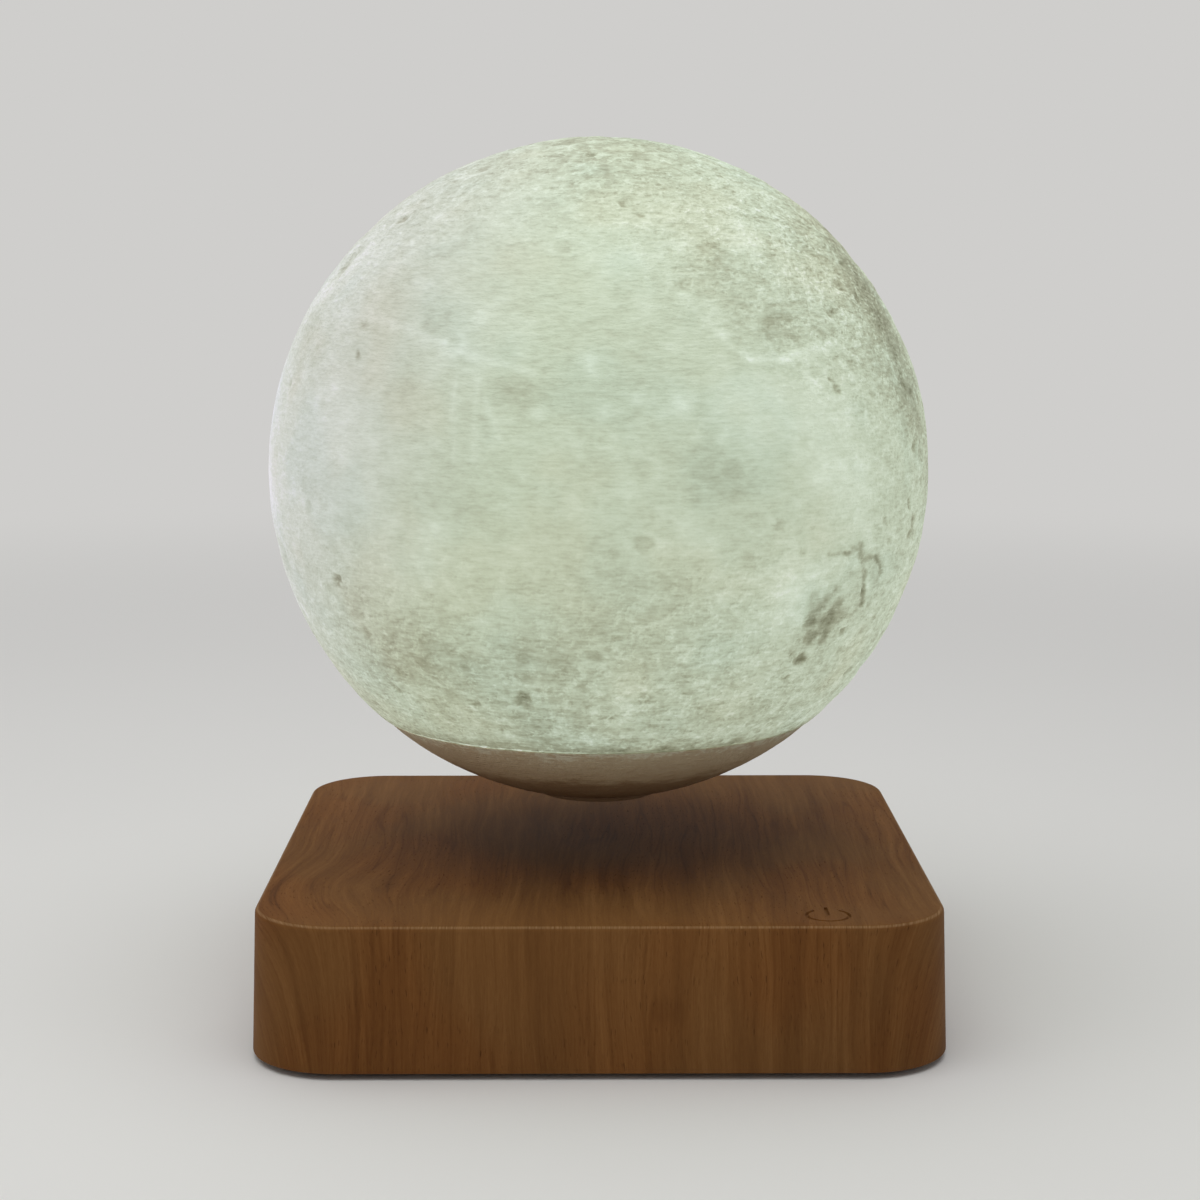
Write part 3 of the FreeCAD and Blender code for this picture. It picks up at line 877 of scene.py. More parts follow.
NAMED_CRATERS = tuple(
    Crater(*row)
    for row in (
        (-25.7, 24.4, 2.2, 0.12, 0), (-46.3, 21.9, 1.3, 0.3, 0.3), (-49.6, -14.6, 1.9, 0.42, 0.38),
        (-68.6, 16.8, 1.4, 0.3, 0.25), (-15.1, -34.8, 2.7, 0.45, 0.34), (-45.1, -35.6, 2, 0.35, 0.2),
        (-36, -37, 1.7, 0.3, 0.18), (-25, -36.6, 1.8, 0.3, 0.22), (-41, -31, 1.6, 0.3, 0.15),
        (51.6, -16.8, 1, 0.3, 0.2), (52.8, -19.9, 1.1, 0.35, 0.28), (55.8, -14.6, 1.1, 0.3, 0.22),
        (56.5, -18.5, 1.1, 0.3, 0.22), (49.8, -23.8, 1.3, 0.35, 0.36), (40, -28.3, 2.4, 0.45, 0.44),
        (37.6, -27.4, 1.4, 0.25, 0.2), (38.1, -32.2, 1.7, 0.3, 0.22), (34.8, -31.6, 1.3, 0.25, 0.16),
        (43.2, 16.6, 1.2, 0.3, 0.3), (63.9, -3.3, 1.8, 0.4, 0.34), (66.5, -8.5, 1.8, 0.4, 0.3),
        (54.5, -5.4, 1.2, 0.25, 0.22), (-3.8, 69.8, 1.5, 0.3, 0.24), (6, 52.2, 1.2, 0.2, 0.22),
        (10.4, 49.2, 1.1, 0.2, 0.16), (13, 55, 1.1, 0.2, 0.14), (2, 57, 1.2, 0.2, 0.14),
        (33.9, 26.5, 6.5, 0.35, 0.06), (6.4, 4.9, 3.4, 0.16, 0), (14, 1, 3.2, 0.16, 0.01),
        (20.8, 4.6, 2.8, 0.16, 0.02), (-2, 0.4, 2.6, 0.14, 0.01), (10.5, -4.5, 3, 0.14, 0),
        (17.5, 10.5, 2.6, 0.14, 0.02), (25, -3.5, 2.8, 0.14, 0), (16, 36.5, 3.2, 0.16, 0.02),
    )
)

# The pale rows from (-88, 3) to (-60, -5) brighten the left limb, a painted highlight of the light from the
# left; the dark rows at longitudes 66 to 80 darken the upper right limb, painted shade; (0, 86) darkens the
# top and (6, -29) the lower middle, painted shade.
NAMED_PATCHES = tuple(
    Patch(*row)
    for row in (
        (38.2, -17.2, 2.2, -0.24, 0.2), (41.2, -18.2, 2.4, -0.26, 0.3), (44.8, -19.2, 2.3, -0.28, 0.3),
        (39.6, -20.8, 2.7, -0.34, 0.3), (43.8, -21.9, 3, -0.34, 0.4), (47.2, -21.2, 1.8, -0.16, 0.2),
        (40.8, -24, 2.1, -0.34, 0.3), (44.2, -24.6, 1.8, -0.34, 0.3), (44, -15.4, 1.5, -0.14, 0.1),
        (45.6, -13.4, 1.2, -0.14, 0.1), (69, 37, 11.5, -0.24), (66.5, 26, 11.5, -0.28),
        (69.5, 13, 10.5, -0.22), (80, 2, 10, -0.14), (80, 47, 12, -0.2), (-70.4, 27.4, 5, -0.1),
        (-12.4, 16.3, 4.5, -0.1), (-15.9, 17.8, 4, -0.08), (-7.6, 17.1, 5, -0.05), (13, -12.3, 6, -0.09),
        (14.3, 7.8, 7, -0.08), (20.7, 2.3, 5, -0.08), (-31.1, 28.3, 4.5, -0.09), (-31.4, -0.5, 5.5, -0.06),
        (-56.4, 0.7, 3.5, -0.07), (-25.5, 17.6, 2.6, -0.07), (-20, 0.1, 5, -0.05), (30.9, 27, 8, -0.07),
        (23.5, 38, 8, -0.1), (-33.5, 18.5, 4.5, -0.06), (-31.6, -27.7, 12, -0.14), (-11.4, -24.6, 9, -0.12),
        (-45, -30, 9, -0.1), (-14, -40.5, 7, -0.06, 0.2), (25.1, 14.3, 12, 0.13), (-47.4, 9.7, 12, 0.13),
        (33.3, 42.9, 5, 0.16), (33.7, -14.9, 10, 0.14), (14.5, -9.1, 9, 0.07), (-32.1, -12, 9, 0.07),
        (6.8, 41.4, 12, 0.08), (-20, 52, 12, 0.05), (4, -34, 9, 0.1), (44, 2, 13, 0.16),
        (-9.9, 13.3, 1.8, 0.13), (0.6, 14.4, 1.7, 0.12), (13, 14.7, 2.4, 0.15), (-4.3, 9.5, 1.6, 0.1),
        (4.1, 1.9, 1.5, 0.09), (40, 14, 10, 0.08), (37.5, 3.1, 2.8, 0.12), (-88, 3, 34, 0.28),
        (-77, 31, 9, 0.12), (-79, 14, 9, 0.15), (-78, -3, 10, 0.16), (-76, -21, 9, 0.1),
        (-99, 16, 12, 0.08), (-62, 38, 18, 0.1), (-60, -5, 14, 0.05), (0, 86, 22, -0.13),
        (2, 60, 18, -0.06), (6, -29, 24, -0.07), (-88, 27, 5, 0, 0.5), (-83, -24, 4, 0, 0.4),
        (86, -30, 5, 0, 0.5), (88, 40, 6, 0, 0.35), (89, -22, 3, 0, 0.6), (84, -38, 3, 0, 0.5),
        (90, 12, 4, 0, 0.4), (-90, -5, 4, 0, 0.4), (-86, 48, 4, 0, 0.4),
    )
)

NAMED_RAYS = tuple(
    Ray(*row)
    for row in (
        ((-27.5, 24.6), (-40, 27.7), 0.9, 0.16), ((-40, 27.7), (-56.5, 29.6), 0.9, 0.12),
        ((-24, 23.3), (-11.1, 19.9), 1.1, 0.14), ((-25.6, 23.3), (-36, 10), 1.8, 0.06),
        ((-24.4, 18.5), (-23.1, 6.1), 0.8, 0.12), ((-20.4, 19.3), (-19.7, 6.2), 0.8, 0.12),
        ((-18.6, 15.5), (-15.5, 9), 0.8, 0.12), ((-25.6, 23.3), (-16, 34), 1.4, 0.06),
        ((16.9, 31), (21.5, 25.8), 0.8, 0.1), ((21.5, 25.8), (25.7, 22), 0.9, 0.16),
        ((25.7, 22), (32.3, 21.8), 0.8, 0.26), ((32.3, 21.8), (44.9, 23.8), 0.9, 0.24),
        ((12, 41), (22, 44), 1.2, 0.12), ((36, -21), (30, -12), 1.6, 0.1),
        ((40.2, -9.9), (44.5, -9.8), 0.7, -0.26, 0.15), ((44.5, -9.8), (46.9, -8.6), 0.7, -0.3, 0.15),
        ((47.8, -9), (49.4, -12.6), 0.8, -0.34, 0.2), ((50.2, -13.4), (51.2, -16.2), 0.9, -0.38, 0.2),
        ((51.6, -16.6), (52.4, -19.9), 0.9, -0.42, 0.2), ((52.3, -19.6), (50, -21.2), 0.8, -0.26, 0.15),
        ((49.3, -10.6), (53.2, -11.6), 0.8, -0.28, 0.15), ((53.2, -11.4), (55.2, -13.4), 0.8, -0.34, 0.15),
        ((55, -13.6), (55.3, -15.8), 0.8, -0.32, 0.15), ((42, 17.8), (43.2, 15.9), 0.7, -0.3, 0.2),
        # The last two rows are pale lines beside sunk cracks, a painted highlight on the cracks' lit side.
        ((67, -5.8), (68.5, -9.4), 0.9, -0.34, 0.3), ((50.6, -12.6), (53.4, -17.4), 0.7, 0.14),
        ((40.4, -11.2), (46, -10.8), 0.7, 0.12),
    )
)


class LatticeNoise:
    """Smooth noise in space, the same on every run."""

    def __init__(self, seed: int) -> None:
        """Fills the table of random values."""
        self.table = np.random.default_rng(seed).random(8192) * 2 - 1

    def at(self, points: Rows) -> Rows:
        """One layer of noise from -1 to 1.

        Args:
            points: One point a row, in cells.

        Returns:
            One value a point.
        """
        cell = np.floor(points).astype(np.int64)
        part = points - cell
        soft = part * part * (3 - 2 * part)
        total = np.zeros(len(points))
        for corner in range(8):
            step = np.array([corner & 1, corner >> 1 & 1, corner >> 2 & 1])
            key = (cell + step) * np.array([73856093, 19349663, 83492791])
            index = (key[:, 0] ^ key[:, 1] ^ key[:, 2]) % len(self.table)
            total += np.prod(np.where(step == 1, soft, 1 - soft), axis=1) * self.table[index]
        return total

    def layered(self, points: Rows, layers: int, keep: float = 0.5) -> Rows:
        """Several layers, each twice as fine and weaker.

        Args:
            points: One point a row, in cells of the first layer.
            layers: How many.
            keep: The strength of each layer beside the last.

        Returns:
            One value a point, about -1 to 1.
        """
        total, weight, reach = np.zeros(len(points)), 1.0, 0.0
        for n in range(layers):
            total += weight * self.at(points * 2.0**n + 17.3 * n)
            reach += weight
            weight *= keep
        return total / reach


def towards(longitude: float, latitude: float) -> Rows:
    """The direction of a place on the globe: longitude 0 is the front, and it grows to the right."""
    east, north = math.radians(longitude), math.radians(latitude)
    return np.array([math.sin(east) * math.cos(north), -math.cos(east) * math.cos(north), math.sin(north)])


def place_of(way: Rows) -> tuple[float, float]:
    """The longitude and latitude of a direction."""
    return math.degrees(math.atan2(way[0], -way[1])), math.degrees(math.asin(way[2]))


def scattered(dice: np.random.Generator, count: int) -> Rows:
    """Directions spread at random over the globe, one a row."""
    ways = dice.normal(size=(count, 3))
    return ways / np.linalg.norm(ways, axis=1)[:, None]


def nearness(ways: Rows, longitude: float, latitude: float, width: float) -> Rows:
    """1 at a place on the globe, with a soft fall over a width in radians."""
    angle = np.arccos(np.clip(ways @ towards(longitude, latitude), -1, 1))
    return np.exp(-((angle / width) ** 2))


@dataclass(frozen=True)
class MoonRelief:
    """Height, tone and roughness of the globe's surface, for any direction from its centre."""

    radius: float
    seed: int = 11
    tries: int = 1100
    smallest: float = 1.3
    largest: float = 7.5
    largest_in_front: float = 2.6
    front: tuple[float, float] = (70, 60)
    falloff: float = 1.9
    deepest: float = 0.42
    dots: int = 420
    dot_radius: tuple[float, float] = (1.0, 2.1)
    dot_tone: tuple[float, float] = (0.06, 0.13)
    swell: float = 0.34
    roll: float = 0.20
    grit: float = 0.10
    cloud: float = 0.08
    ragged: float = 0.014
    rugged: tuple[float, float, float] = (58, 34, 0.42)
    plains: tuple[tuple[float, float, float], ...] = (
        (-30, 5, 0.62), (-5, 8, 0.5), (18, 12, 0.36), (-20, 30, 0.4), (44, 2, 0.4), (-78, 12, 0.5),
        (150, 20, 0.4),
    )

    def _noise(self, salt: int, points: Rows, layers: int, keep: float = 0.5) -> Rows:
        """Layered noise with a seed of its own."""
        return LatticeNoise(self.seed + salt).layered(points, layers, keep)

    def _upland(self, ways: Rows) -> Rows:
        """How rough the ground is: low on the smooth plains at the front left, high elsewhere.

        Args:
            ways: One direction a row.

        Returns:
            The roughness in each, from 0.12 to 1.5.
        """
        level = 1.0 + 0.5 * nearness(ways, *self.rugged)
        for plain in self.plains:
            level -= 0.62 * nearness(ways, *plain)
        level += 0.25 * self._noise(1, ways * 3.0, 3)
        return np.clip(level, 0.12, 1.5)

    def _seeded(self) -> list[Crater]:
        """The small craters that cover the globe, more of them on rough ground.

        Returns:
            The craters.
        """
        dice = np.random.default_rng(self.seed)
        ways = scattered(dice, self.tries)
        kept = ways[dice.random(self.tries) < self._upland(ways) ** 1.5]
        found = []
        for way in kept:
            size = min(self.smallest * (1 - dice.random()) ** (-1 / self.falloff), self.largest)
            longitude, latitude = place_of(way)
            if abs(longitude) < self.front[0] and latitude < self.front[1]:
                size = min(size, self.largest_in_front)
            depth = min(0.1 * size, self.deepest) * dice.uniform(0.5, 1.0)
            found.append(Crater(longitude, latitude, size, depth, dice.uniform(0.0, 0.12)))
        return found

    def _dots(self) -> list[Patch]:
        """The small soft pale dots that are scattered over the print.

        Returns:
            The dots.
        """
        dice = np.random.default_rng(self.seed + 7)
        ways, sizes, tones = scattered(dice, self.dots), self.dot_radius, self.dot_tone
        return [Patch(*place_of(way), dice.uniform(*sizes), dice.uniform(*tones)) for way in ways]

    def shape(self, ways: Rows) -> tuple[Rows, Rows, Rows]:
        """The surface in each direction.

        Args:
            ways: One direction of length 1 a row.

        Returns:
            Heights in mm above the mean radius, tones from 0 (dark) to 1 (pale), and roughness.
        """
        upland = self._upland(ways)
        height = self.swell * self._noise(2, ways * 4.2, 3)
        height += self.roll * upland * self._noise(3, ways * 17.0, 3, 0.6)
        height += self.grit * upland * self._noise(4, ways * np.array([26.0, 26.0, 60.0]), 2, 0.7)
        tone = 0.5 + self.cloud * self._noise(5, ways * 5.0, 4, 0.6)

        shake = np.stack([self._noise(20 + n, ways * 22.0, 2) for n in range(3)], axis=1)
        wavy = ways + self.ragged * shake
        wavy /= np.linalg.norm(wavy, axis=1)[:, None]
        for crater in self._seeded() + list(NAMED_CRATERS):
            bowl, shade = self._dig(wavy, crater)
            height += bowl
            tone += shade
        for patch in self._dots() + list(NAMED_PATCHES):
            offset = wavy - towards(patch.longitude, patch.latitude)
            near = np.abs(offset).max(axis=1) < 3.0 * patch.radius / self.radius
            away = self.radius * np.linalg.norm(offset[near], axis=1)
            spot = np.exp(-((away / patch.radius) ** (4 if patch.sunk else 2)))
            tone[near] += patch.tone * spot
            height[near] -= patch.sunk * spot
        for ray in NAMED_RAYS:
            streak = self._streak(ways if ray.tone > 0 else wavy, ray)
            tone += ray.tone * streak
            height -= ray.sunk * streak
        return height, np.clip(tone, 0.0, 1.0), upland

    def _dig(self, ways: Rows, crater: Crater) -> tuple[Rows, Rows]:
        """A crater's bowl with its raised rim, and its darker floor with a paler rim.

        Args:
            ways: One direction a row.
            crater: The crater.

        Returns:
            What it adds to the height in mm, and to the tone.
        """
        bowl, shade = np.zeros(len(ways)), np.zeros(len(ways))
        away = self.radius * np.linalg.norm(ways - towards(crater.longitude, crater.latitude), axis=1)
        near = away < 2.2 * crater.radius
        share = away[near] / crater.radius
        inside = np.clip(1.5 * (1 - share * share), 0.0, 1.0)
        rim = np.exp(-(((share - 1.08) / 0.26) ** 2))
        bowl[near] = crater.depth * (0.3 * rim - inside)
        shade[near] = 0.05 * rim - (0.8 * crater.shade + 0.02) * inside
        return bowl, shade

    def _streak(self, ways: Rows, ray: Ray) -> Rows:
        """How strong a streak is.

        Args:
            ways: One direction a row.
            ray: The streak.

        Returns:
            From 1 at the middle of its start down to 0.
        """
        first, run = towards(*ray.start), towards(*ray.end) - towards(*ray.start)
        share = np.clip((ways - first) @ run / (run @ run), 0, 1)
        away = self.radius * np.linalg.norm(ways - (first + share[:, None] * run), axis=1)
        return (1 - 0.4 * share) * np.exp(-((away / ray.width) ** 2))


# ---------------------------------------------------------------- the moon


@dataclass
class Moon:
    """The globe above its seam, the cap below it and the landing pad."""

    centre: float = 131.2
    radius: float = 82.2
    globe_faces: tuple[int, int] = (112, 64)
    cap_faces: tuple[int, int] = (80, 60)
    highest: float = 82.49
    easing: float = 0.07
    wall: float = 2.2
    pole: float = 86.0
    seam: float = 69.7
    seam_gap: float = 0.12
    seam_fade: float = 2.5
    seam_relief: float = 0.15
    cap_radius: float = 82.3
    cap_relief: float = 0.5
    lip: float = 0.6
    lip_fade: float = 3.5
    pad_top: float = 50.2
    pad_radius: float = 15.0
    pad_height: float = 1.0
    pad_rings: tuple[tuple[float, float], ...] = ((2.4, 0.0), (0.4, 0.3), (7.0, 0.0), (0.4, 0.0))

    def _ball(self, name: str, segments: int, rings: int, radius: float) -> Piece:
        """A ball round the moon's centre, each face cut in sixteen: the start of a part of the globe.

        Args:
            name: The piece's name.
            segments: Faces round it.
            rings: Faces from pole to pole.
            radius: Its radius in mm.

        Returns:
            The piece.
        """
        grid = {"segments": segments, "ring_count": rings, "radius": radius * MM}
        piece = start(bpy.ops.mesh.primitive_uv_sphere_add, name, location=(0, 0, self.centre * MM), **grid)
        with editing(piece):
            bpy.ops.mesh.subdivide(number_cuts=3)
            bpy.ops.transform.tosphere(value=1.0)
        return piece

    def _line(self, radius: float, level: float, pole: float, count: int) -> None:
        """Extrudes the open edge ring by ring into the inner wall and closes it on the axis.

        Args:
            radius: The outer radius in mm.
            level: The height of the open edge in mm.
            pole: The angle of the last ring in degrees, 90 at the top.
            count: How many steps there are from the first ring to the last.
        """
        inner, drop = radius - self.wall, level - self.centre
        first, wide = math.degrees(math.asin(drop / inner)), math.sqrt(radius**2 - drop**2)
        for n in range(count + 1):
            angle = math.radians(first + (pole - first) * n / count)
            wider, higher = inner * math.cos(angle), self.centre + inner * math.sin(angle)
            pull((0, 0, higher - level))
            stretch((wider / wide, wider / wide, 1.0), (0, 0, higher))
            wide, level = wider, higher
        bpy.ops.mesh.merge(type="CENTER")

    def _raise_relief(self, piece: Piece, relief: MoonRelief, radius: float, strength: float) -> None:
        """Moves the outer surface to the relief and stores its tone.

        Args:
            piece: The globe or the cap.
            relief: The surface.
            radius: The piece's own radius in mm.
            strength: How much of the heights is used. They fade at the seam, so that its edge stays even.
        """
        mesh = piece.data
        middle = np.array([0, 0, self.centre])
        points = coordinates(mesh) - middle
        away = np.linalg.norm(points, axis=1)
        outer = away > radius - 0.9 * self.wall
        skin = points[outer]
        ways = skin / away[outer, None]
        height, tone, upland = relief.shape(ways)
        below_seam = self.seam - self.centre - skin[:, 2]
        fade = np.clip(np.abs(below_seam) / self.seam_fade, self.seam_relief, 1.0)
        tuck = self.lip * np.exp(-np.clip(below_seam, 0, None) / self.lip_fade) * (below_seam > 0)
        spare = self.highest - radius - height * strength * fade
        moved = ways * (self.highest - self.easing * np.logaddexp(0.0, spare / self.easing))[:, None]
        moved[:, :2] *= (1 - tuck / np.linalg.norm(moved[:, :2], axis=1))[:, None]
        flat = (below_seam > 0) & (skin[:, 2] < self.pad_top - self.centre + 0.01)
        moved[flat, 2] = skin[flat, 2]
        points[outer] = moved
        mesh.vertices.foreach_set("co", ((points + middle) * MM).ravel())
        for name, values, inside in (("tone", tone, 0.5), ("upland", upland, 0.3)):
            whole = np.full(len(points), inside)
            whole[outer] = values
            mark_points(mesh, name, whole)
        mesh.update()

    def build_globe(self, relief: MoonRelief) -> Piece:
        """The printed globe above the seam, with its wall.

        Args:
            relief: The surface.

        Returns:
            The piece.
        """
        piece = self._ball("globe_relief", *self.globe_faces, self.radius)
        with editing(piece):
            bpy.ops.mesh.bisect(plane_co=(0, 0, self.seam * MM), plane_no=(0, 0, 1), clear_inner=True)
            self._line(self.radius, self.seam, self.pole, 11)
        self._raise_relief(piece, relief, self.radius, 1.0)
        smooth(piece, 60)
        return piece

    def build_cap(self, relief: MoonRelief) -> Piece:
        """The print below the seam, set in by the lip, with a flat for the landing pad.

        Args:
            relief: The surface.

        Returns:
            The piece.
        """
        piece = self._ball("cap_relief", *self.cap_faces, self.cap_radius)
        top, up = self.seam - self.seam_gap, (0, 0, 1)
        flat = (0, 0, self.pad_top * MM)
        with editing(piece):
            bpy.ops.mesh.bisect(plane_co=flat, plane_no=up, clear_inner=True, use_fill=True)
            bpy.ops.mesh.select_all(action="SELECT")
            bpy.ops.mesh.bisect(plane_co=(0, 0, top * MM), plane_no=up, clear_outer=True)
            self._line(self.cap_radius, top, -self.pole, 6)
        self._raise_relief(piece, relief, self.cap_radius, self.cap_relief)
        smooth(piece, 60)
        return piece

    def build_pad(self) -> Piece:
        """The landing pad: a thin disc with an eased edge and a shallow ring round a central dot.

        Returns:
            The piece.
        """
        size = {"vertices": 96, "radius": self.pad_radius * MM, "depth": self.pad_height * MM}
        place = (0, 0, (self.pad_top - self.pad_height / 2) * MM)
        piece = start(bpy.ops.mesh.primitive_cylinder_add, "pad_disc", location=place, **size)
        with editing(piece):
            pick_underside(piece)
            ease(0.3, 3)
            pick_underside(piece)
            for width, rise in self.pad_rings:
                bpy.ops.mesh.inset(thickness=width * MM, depth=-rise * MM)
        smooth(piece, 35)
        return piece

    def build(self) -> list[Piece]:
        """Builds and dresses the moon's shell.

        Returns:
            The pieces, each riding on the moon.
        """
        relief = MoonRelief(self.radius)
        cap_finish = PrintedCapFinish(self.seam, self.pad_top - self.pad_height).material()
        globe, cap, pad = self.build_globe(relief), self.build_cap(relief), self.build_pad()
        plan = (
            (globe, PrintedGlobeFinish().material(), "moon_shell", "printed_moon"),
            (cap, cap_finish, "moon_cap", "printed_cap"),
            (pad, cap_finish, "landing_pad", "printed_cap"),
        )
        for piece, finish, node, slot in plan:
            dress(piece, finish)
            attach(piece, "moon")
            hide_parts(node)
        return [globe, cap, pad]


# ---------------------------------------------------------------- the base


@dataclass
class BaseSkin:
    """The drafted square shell of the base, with its soft top edge, its window and its touch mark."""

    top_half: float = 80.0
    foot_half: float = 81.0
    corner: float = 19.5
    foot: float = 1.5
    top: float = 35.5
    ceiling: float = 33.0
    cavity_half: float = 77.0
    edge: float = 1.3
    rim: float = 2.5
    # edge_highlight: the drop below the top, in mm, of the top edge's line that is painted paler as a
    # highlight
    edge_highlight: tuple[float, float] = (0.05, 0.52)
    foot_edge: float = 0.3
    mark: tuple[float, float] = (52.1, -70.6)
    mark_radius: float = 4.85
    mark_line: float = 0.9
    mark_depth: float = 0.5
    mark_half_gap: float = 36.0
    mark_bar: float = 6.6
    mark_mouth: float = 1.5
    mark_floor: float = 0.5
    window_height: float = 14.3
    window_radius: float = 6.0
    window_depth: float = 9.0

    def _box(self) -> Piece:
        """The shell: a box with round upright corners and leaning sides, hollowed from below.

        Returns:
            The piece.
        """
        size = (2 * self.foot_half * MM, 2 * self.foot_half * MM, (self.top - self.foot) * MM)
        place = (0, 0, (self.top + self.foot) / 2 * MM)
        piece = start(bpy.ops.mesh.primitive_cube_add, "base_skin", size, size=1.0, location=place)
        lean = self.top_half / self.foot_half
        with editing(piece):
            pick(piece, Element.EDGE, lambda a, b: abs(a.z - b.z) > 0.01)
            ease(self.corner + self.foot_half - self.top_half, 20)
            pick(piece, Element.FACE, lambda middle, normal: normal.z > 0.9)
            stretch((lean, lean, 1.0), (0, 0, self.top))
            ease(self.edge, 6)
            pick_underside(piece)
            ease(self.foot_edge, 2)
            pick_underside(piece)
            bpy.ops.mesh.inset(thickness=(self.foot_half - self.cavity_half - self.foot_edge) * MM)
            pull((0, 0, self.ceiling - self.foot))
        return piece

    def _mark_ring(self) -> Piece:
        """The cutter of the mark's open ring: a section with leaning sides, spun round the ring's centre.

        Returns:
            The cutter.
        """
        x, y = self.mark
        begin, turn = math.radians(90 - self.mark_half_gap), math.radians(360 - 2 * self.mark_half_gap)
        place = (x + self.mark_radius * math.cos(begin), y + self.mark_radius * math.sin(begin), self.top)
        piece = start(
            bpy.ops.mesh.primitive_plane_add,
            "mark_cutter",
            (self.mark_line * MM, 2 * self.mark_depth * MM, 1.0),
            size=1.0,
            location=tuple(v * MM for v in place),
            rotation=(math.radians(90), 0, begin),
        )
        level = self.top * MM
        centre = (x * MM, y * MM, level)
        with editing(piece):
            for side, factor in ((1, self.mark_mouth), (-1, self.mark_floor)):
                pick(piece, Element.EDGE, lambda a, b: min(side * (a.z - level), side * (b.z - level)) > 0)
                stretch((factor, factor, 1.0), place)
            bpy.ops.mesh.select_all(action="SELECT")
            bpy.ops.mesh.spin(steps=56, angle=turn, center=centre, axis=(0, 0, 1), dupli=False)
            bpy.ops.mesh.select_all(action="SELECT")
            bpy.ops.mesh.remove_doubles(threshold=1e-6)
            bpy.ops.mesh.select_all(action="DESELECT")
            bpy.ops.mesh.select_mode(type="EDGE")
            bpy.ops.mesh.select_non_manifold(extend=False)
            bpy.ops.mesh.edge_face_add()
            bpy.ops.mesh.select_all(action="SELECT")
            bpy.ops.mesh.normals_make_consistent(inside=False)
        return piece

    def _mark_stroke(self) -> Piece:
        """The cutter of the mark's bar, with round ends and leaning sides.

        Returns:
            The cutter.
        """
        middle = (self.mark[0], self.mark[1] + self.mark_bar / 2, self.top)
        size = tuple(v * MM for v in (self.mark_line, self.mark_bar, 2 * self.mark_depth))
        place = tuple(v * MM for v in middle)
        piece = start(bpy.ops.mesh.primitive_cube_add, "bar_cutter", size, size=1.0, location=place)
        with editing(piece):
            pick(piece, Element.EDGE, lambda a, b: abs(a.z - b.z) > 0.0005)
            ease(0.44 * self.mark_line, 6)
            for side, factor in ((1, self.mark_mouth), (-1, self.mark_floor)):
                pick(piece, Element.FACE, lambda centre, normal: normal.z * side > 0.9)
                stretch((factor, 1.0, 1.0), middle)
        return piece

    def _window(self) -> Piece:
        """The cutter of the socket's window in the back wall.

        Returns:
            The cutter.
        """
        middle = (self.cavity_half + self.foot_half + 1) / 2
        size = {"vertices": 64, "radius": self.window_radius * MM, "depth": self.window_depth * MM}
        pose = {"location": (0, middle * MM, self.window_height * MM), "rotation": (math.radians(-90), 0, 0)}
        return start(bpy.ops.mesh.primitive_cylinder_add, "window_cutter", **size, **pose)

    def _unfold(self, piece: Piece) -> None:
        """Lays the film's map: the top face as it is, and each side folded out level from the top edge.

        Args:
            piece: The shell, which also gets a paler line along its top edge, a painted highlight.
        """
        mesh = piece.data
        straight = self.top_half - self.corner
        points = coordinates(mesh)
        level, drop = points[:, :2], self.top - points[:, 2]
        beyond = level - np.clip(level, -straight, straight)
        reach = np.linalg.norm(beyond, axis=1)
        side = reach > self.corner - self.rim
        outward = beyond / np.maximum(reach, 1e-6)[:, None]
        film = (level + outward * np.where(side, drop, 0.0)[:, None]) * MM
        corners = np.empty(len(mesh.loops), np.int32)
        mesh.loops.foreach_get("vertex_index", corners)
        layer = mesh.uv_layers.new(name="film")
        layer.data.foreach_set("uv", film[corners].astype(np.float32).ravel())
        # The edge attribute marks the line that the wood finish paints paler as a highlight.
        mark_points(mesh, "edge", (drop > self.edge_highlight[0]) & (drop < self.edge_highlight[1]) & side)

    def build(self) -> Piece:
        """Builds and dresses the shell.

        Returns:
            The piece, riding on the base.
        """
        piece = self._box()
        for cutter in (self._mark_ring(), self._mark_stroke(), self._window()):
            carve(piece, cutter)
        self._unfold(piece)
        smooth(piece, 32)
        dress(piece, WoodSkinFinish().material())
        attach(piece, "base")
        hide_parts("base_housing")
        return piece


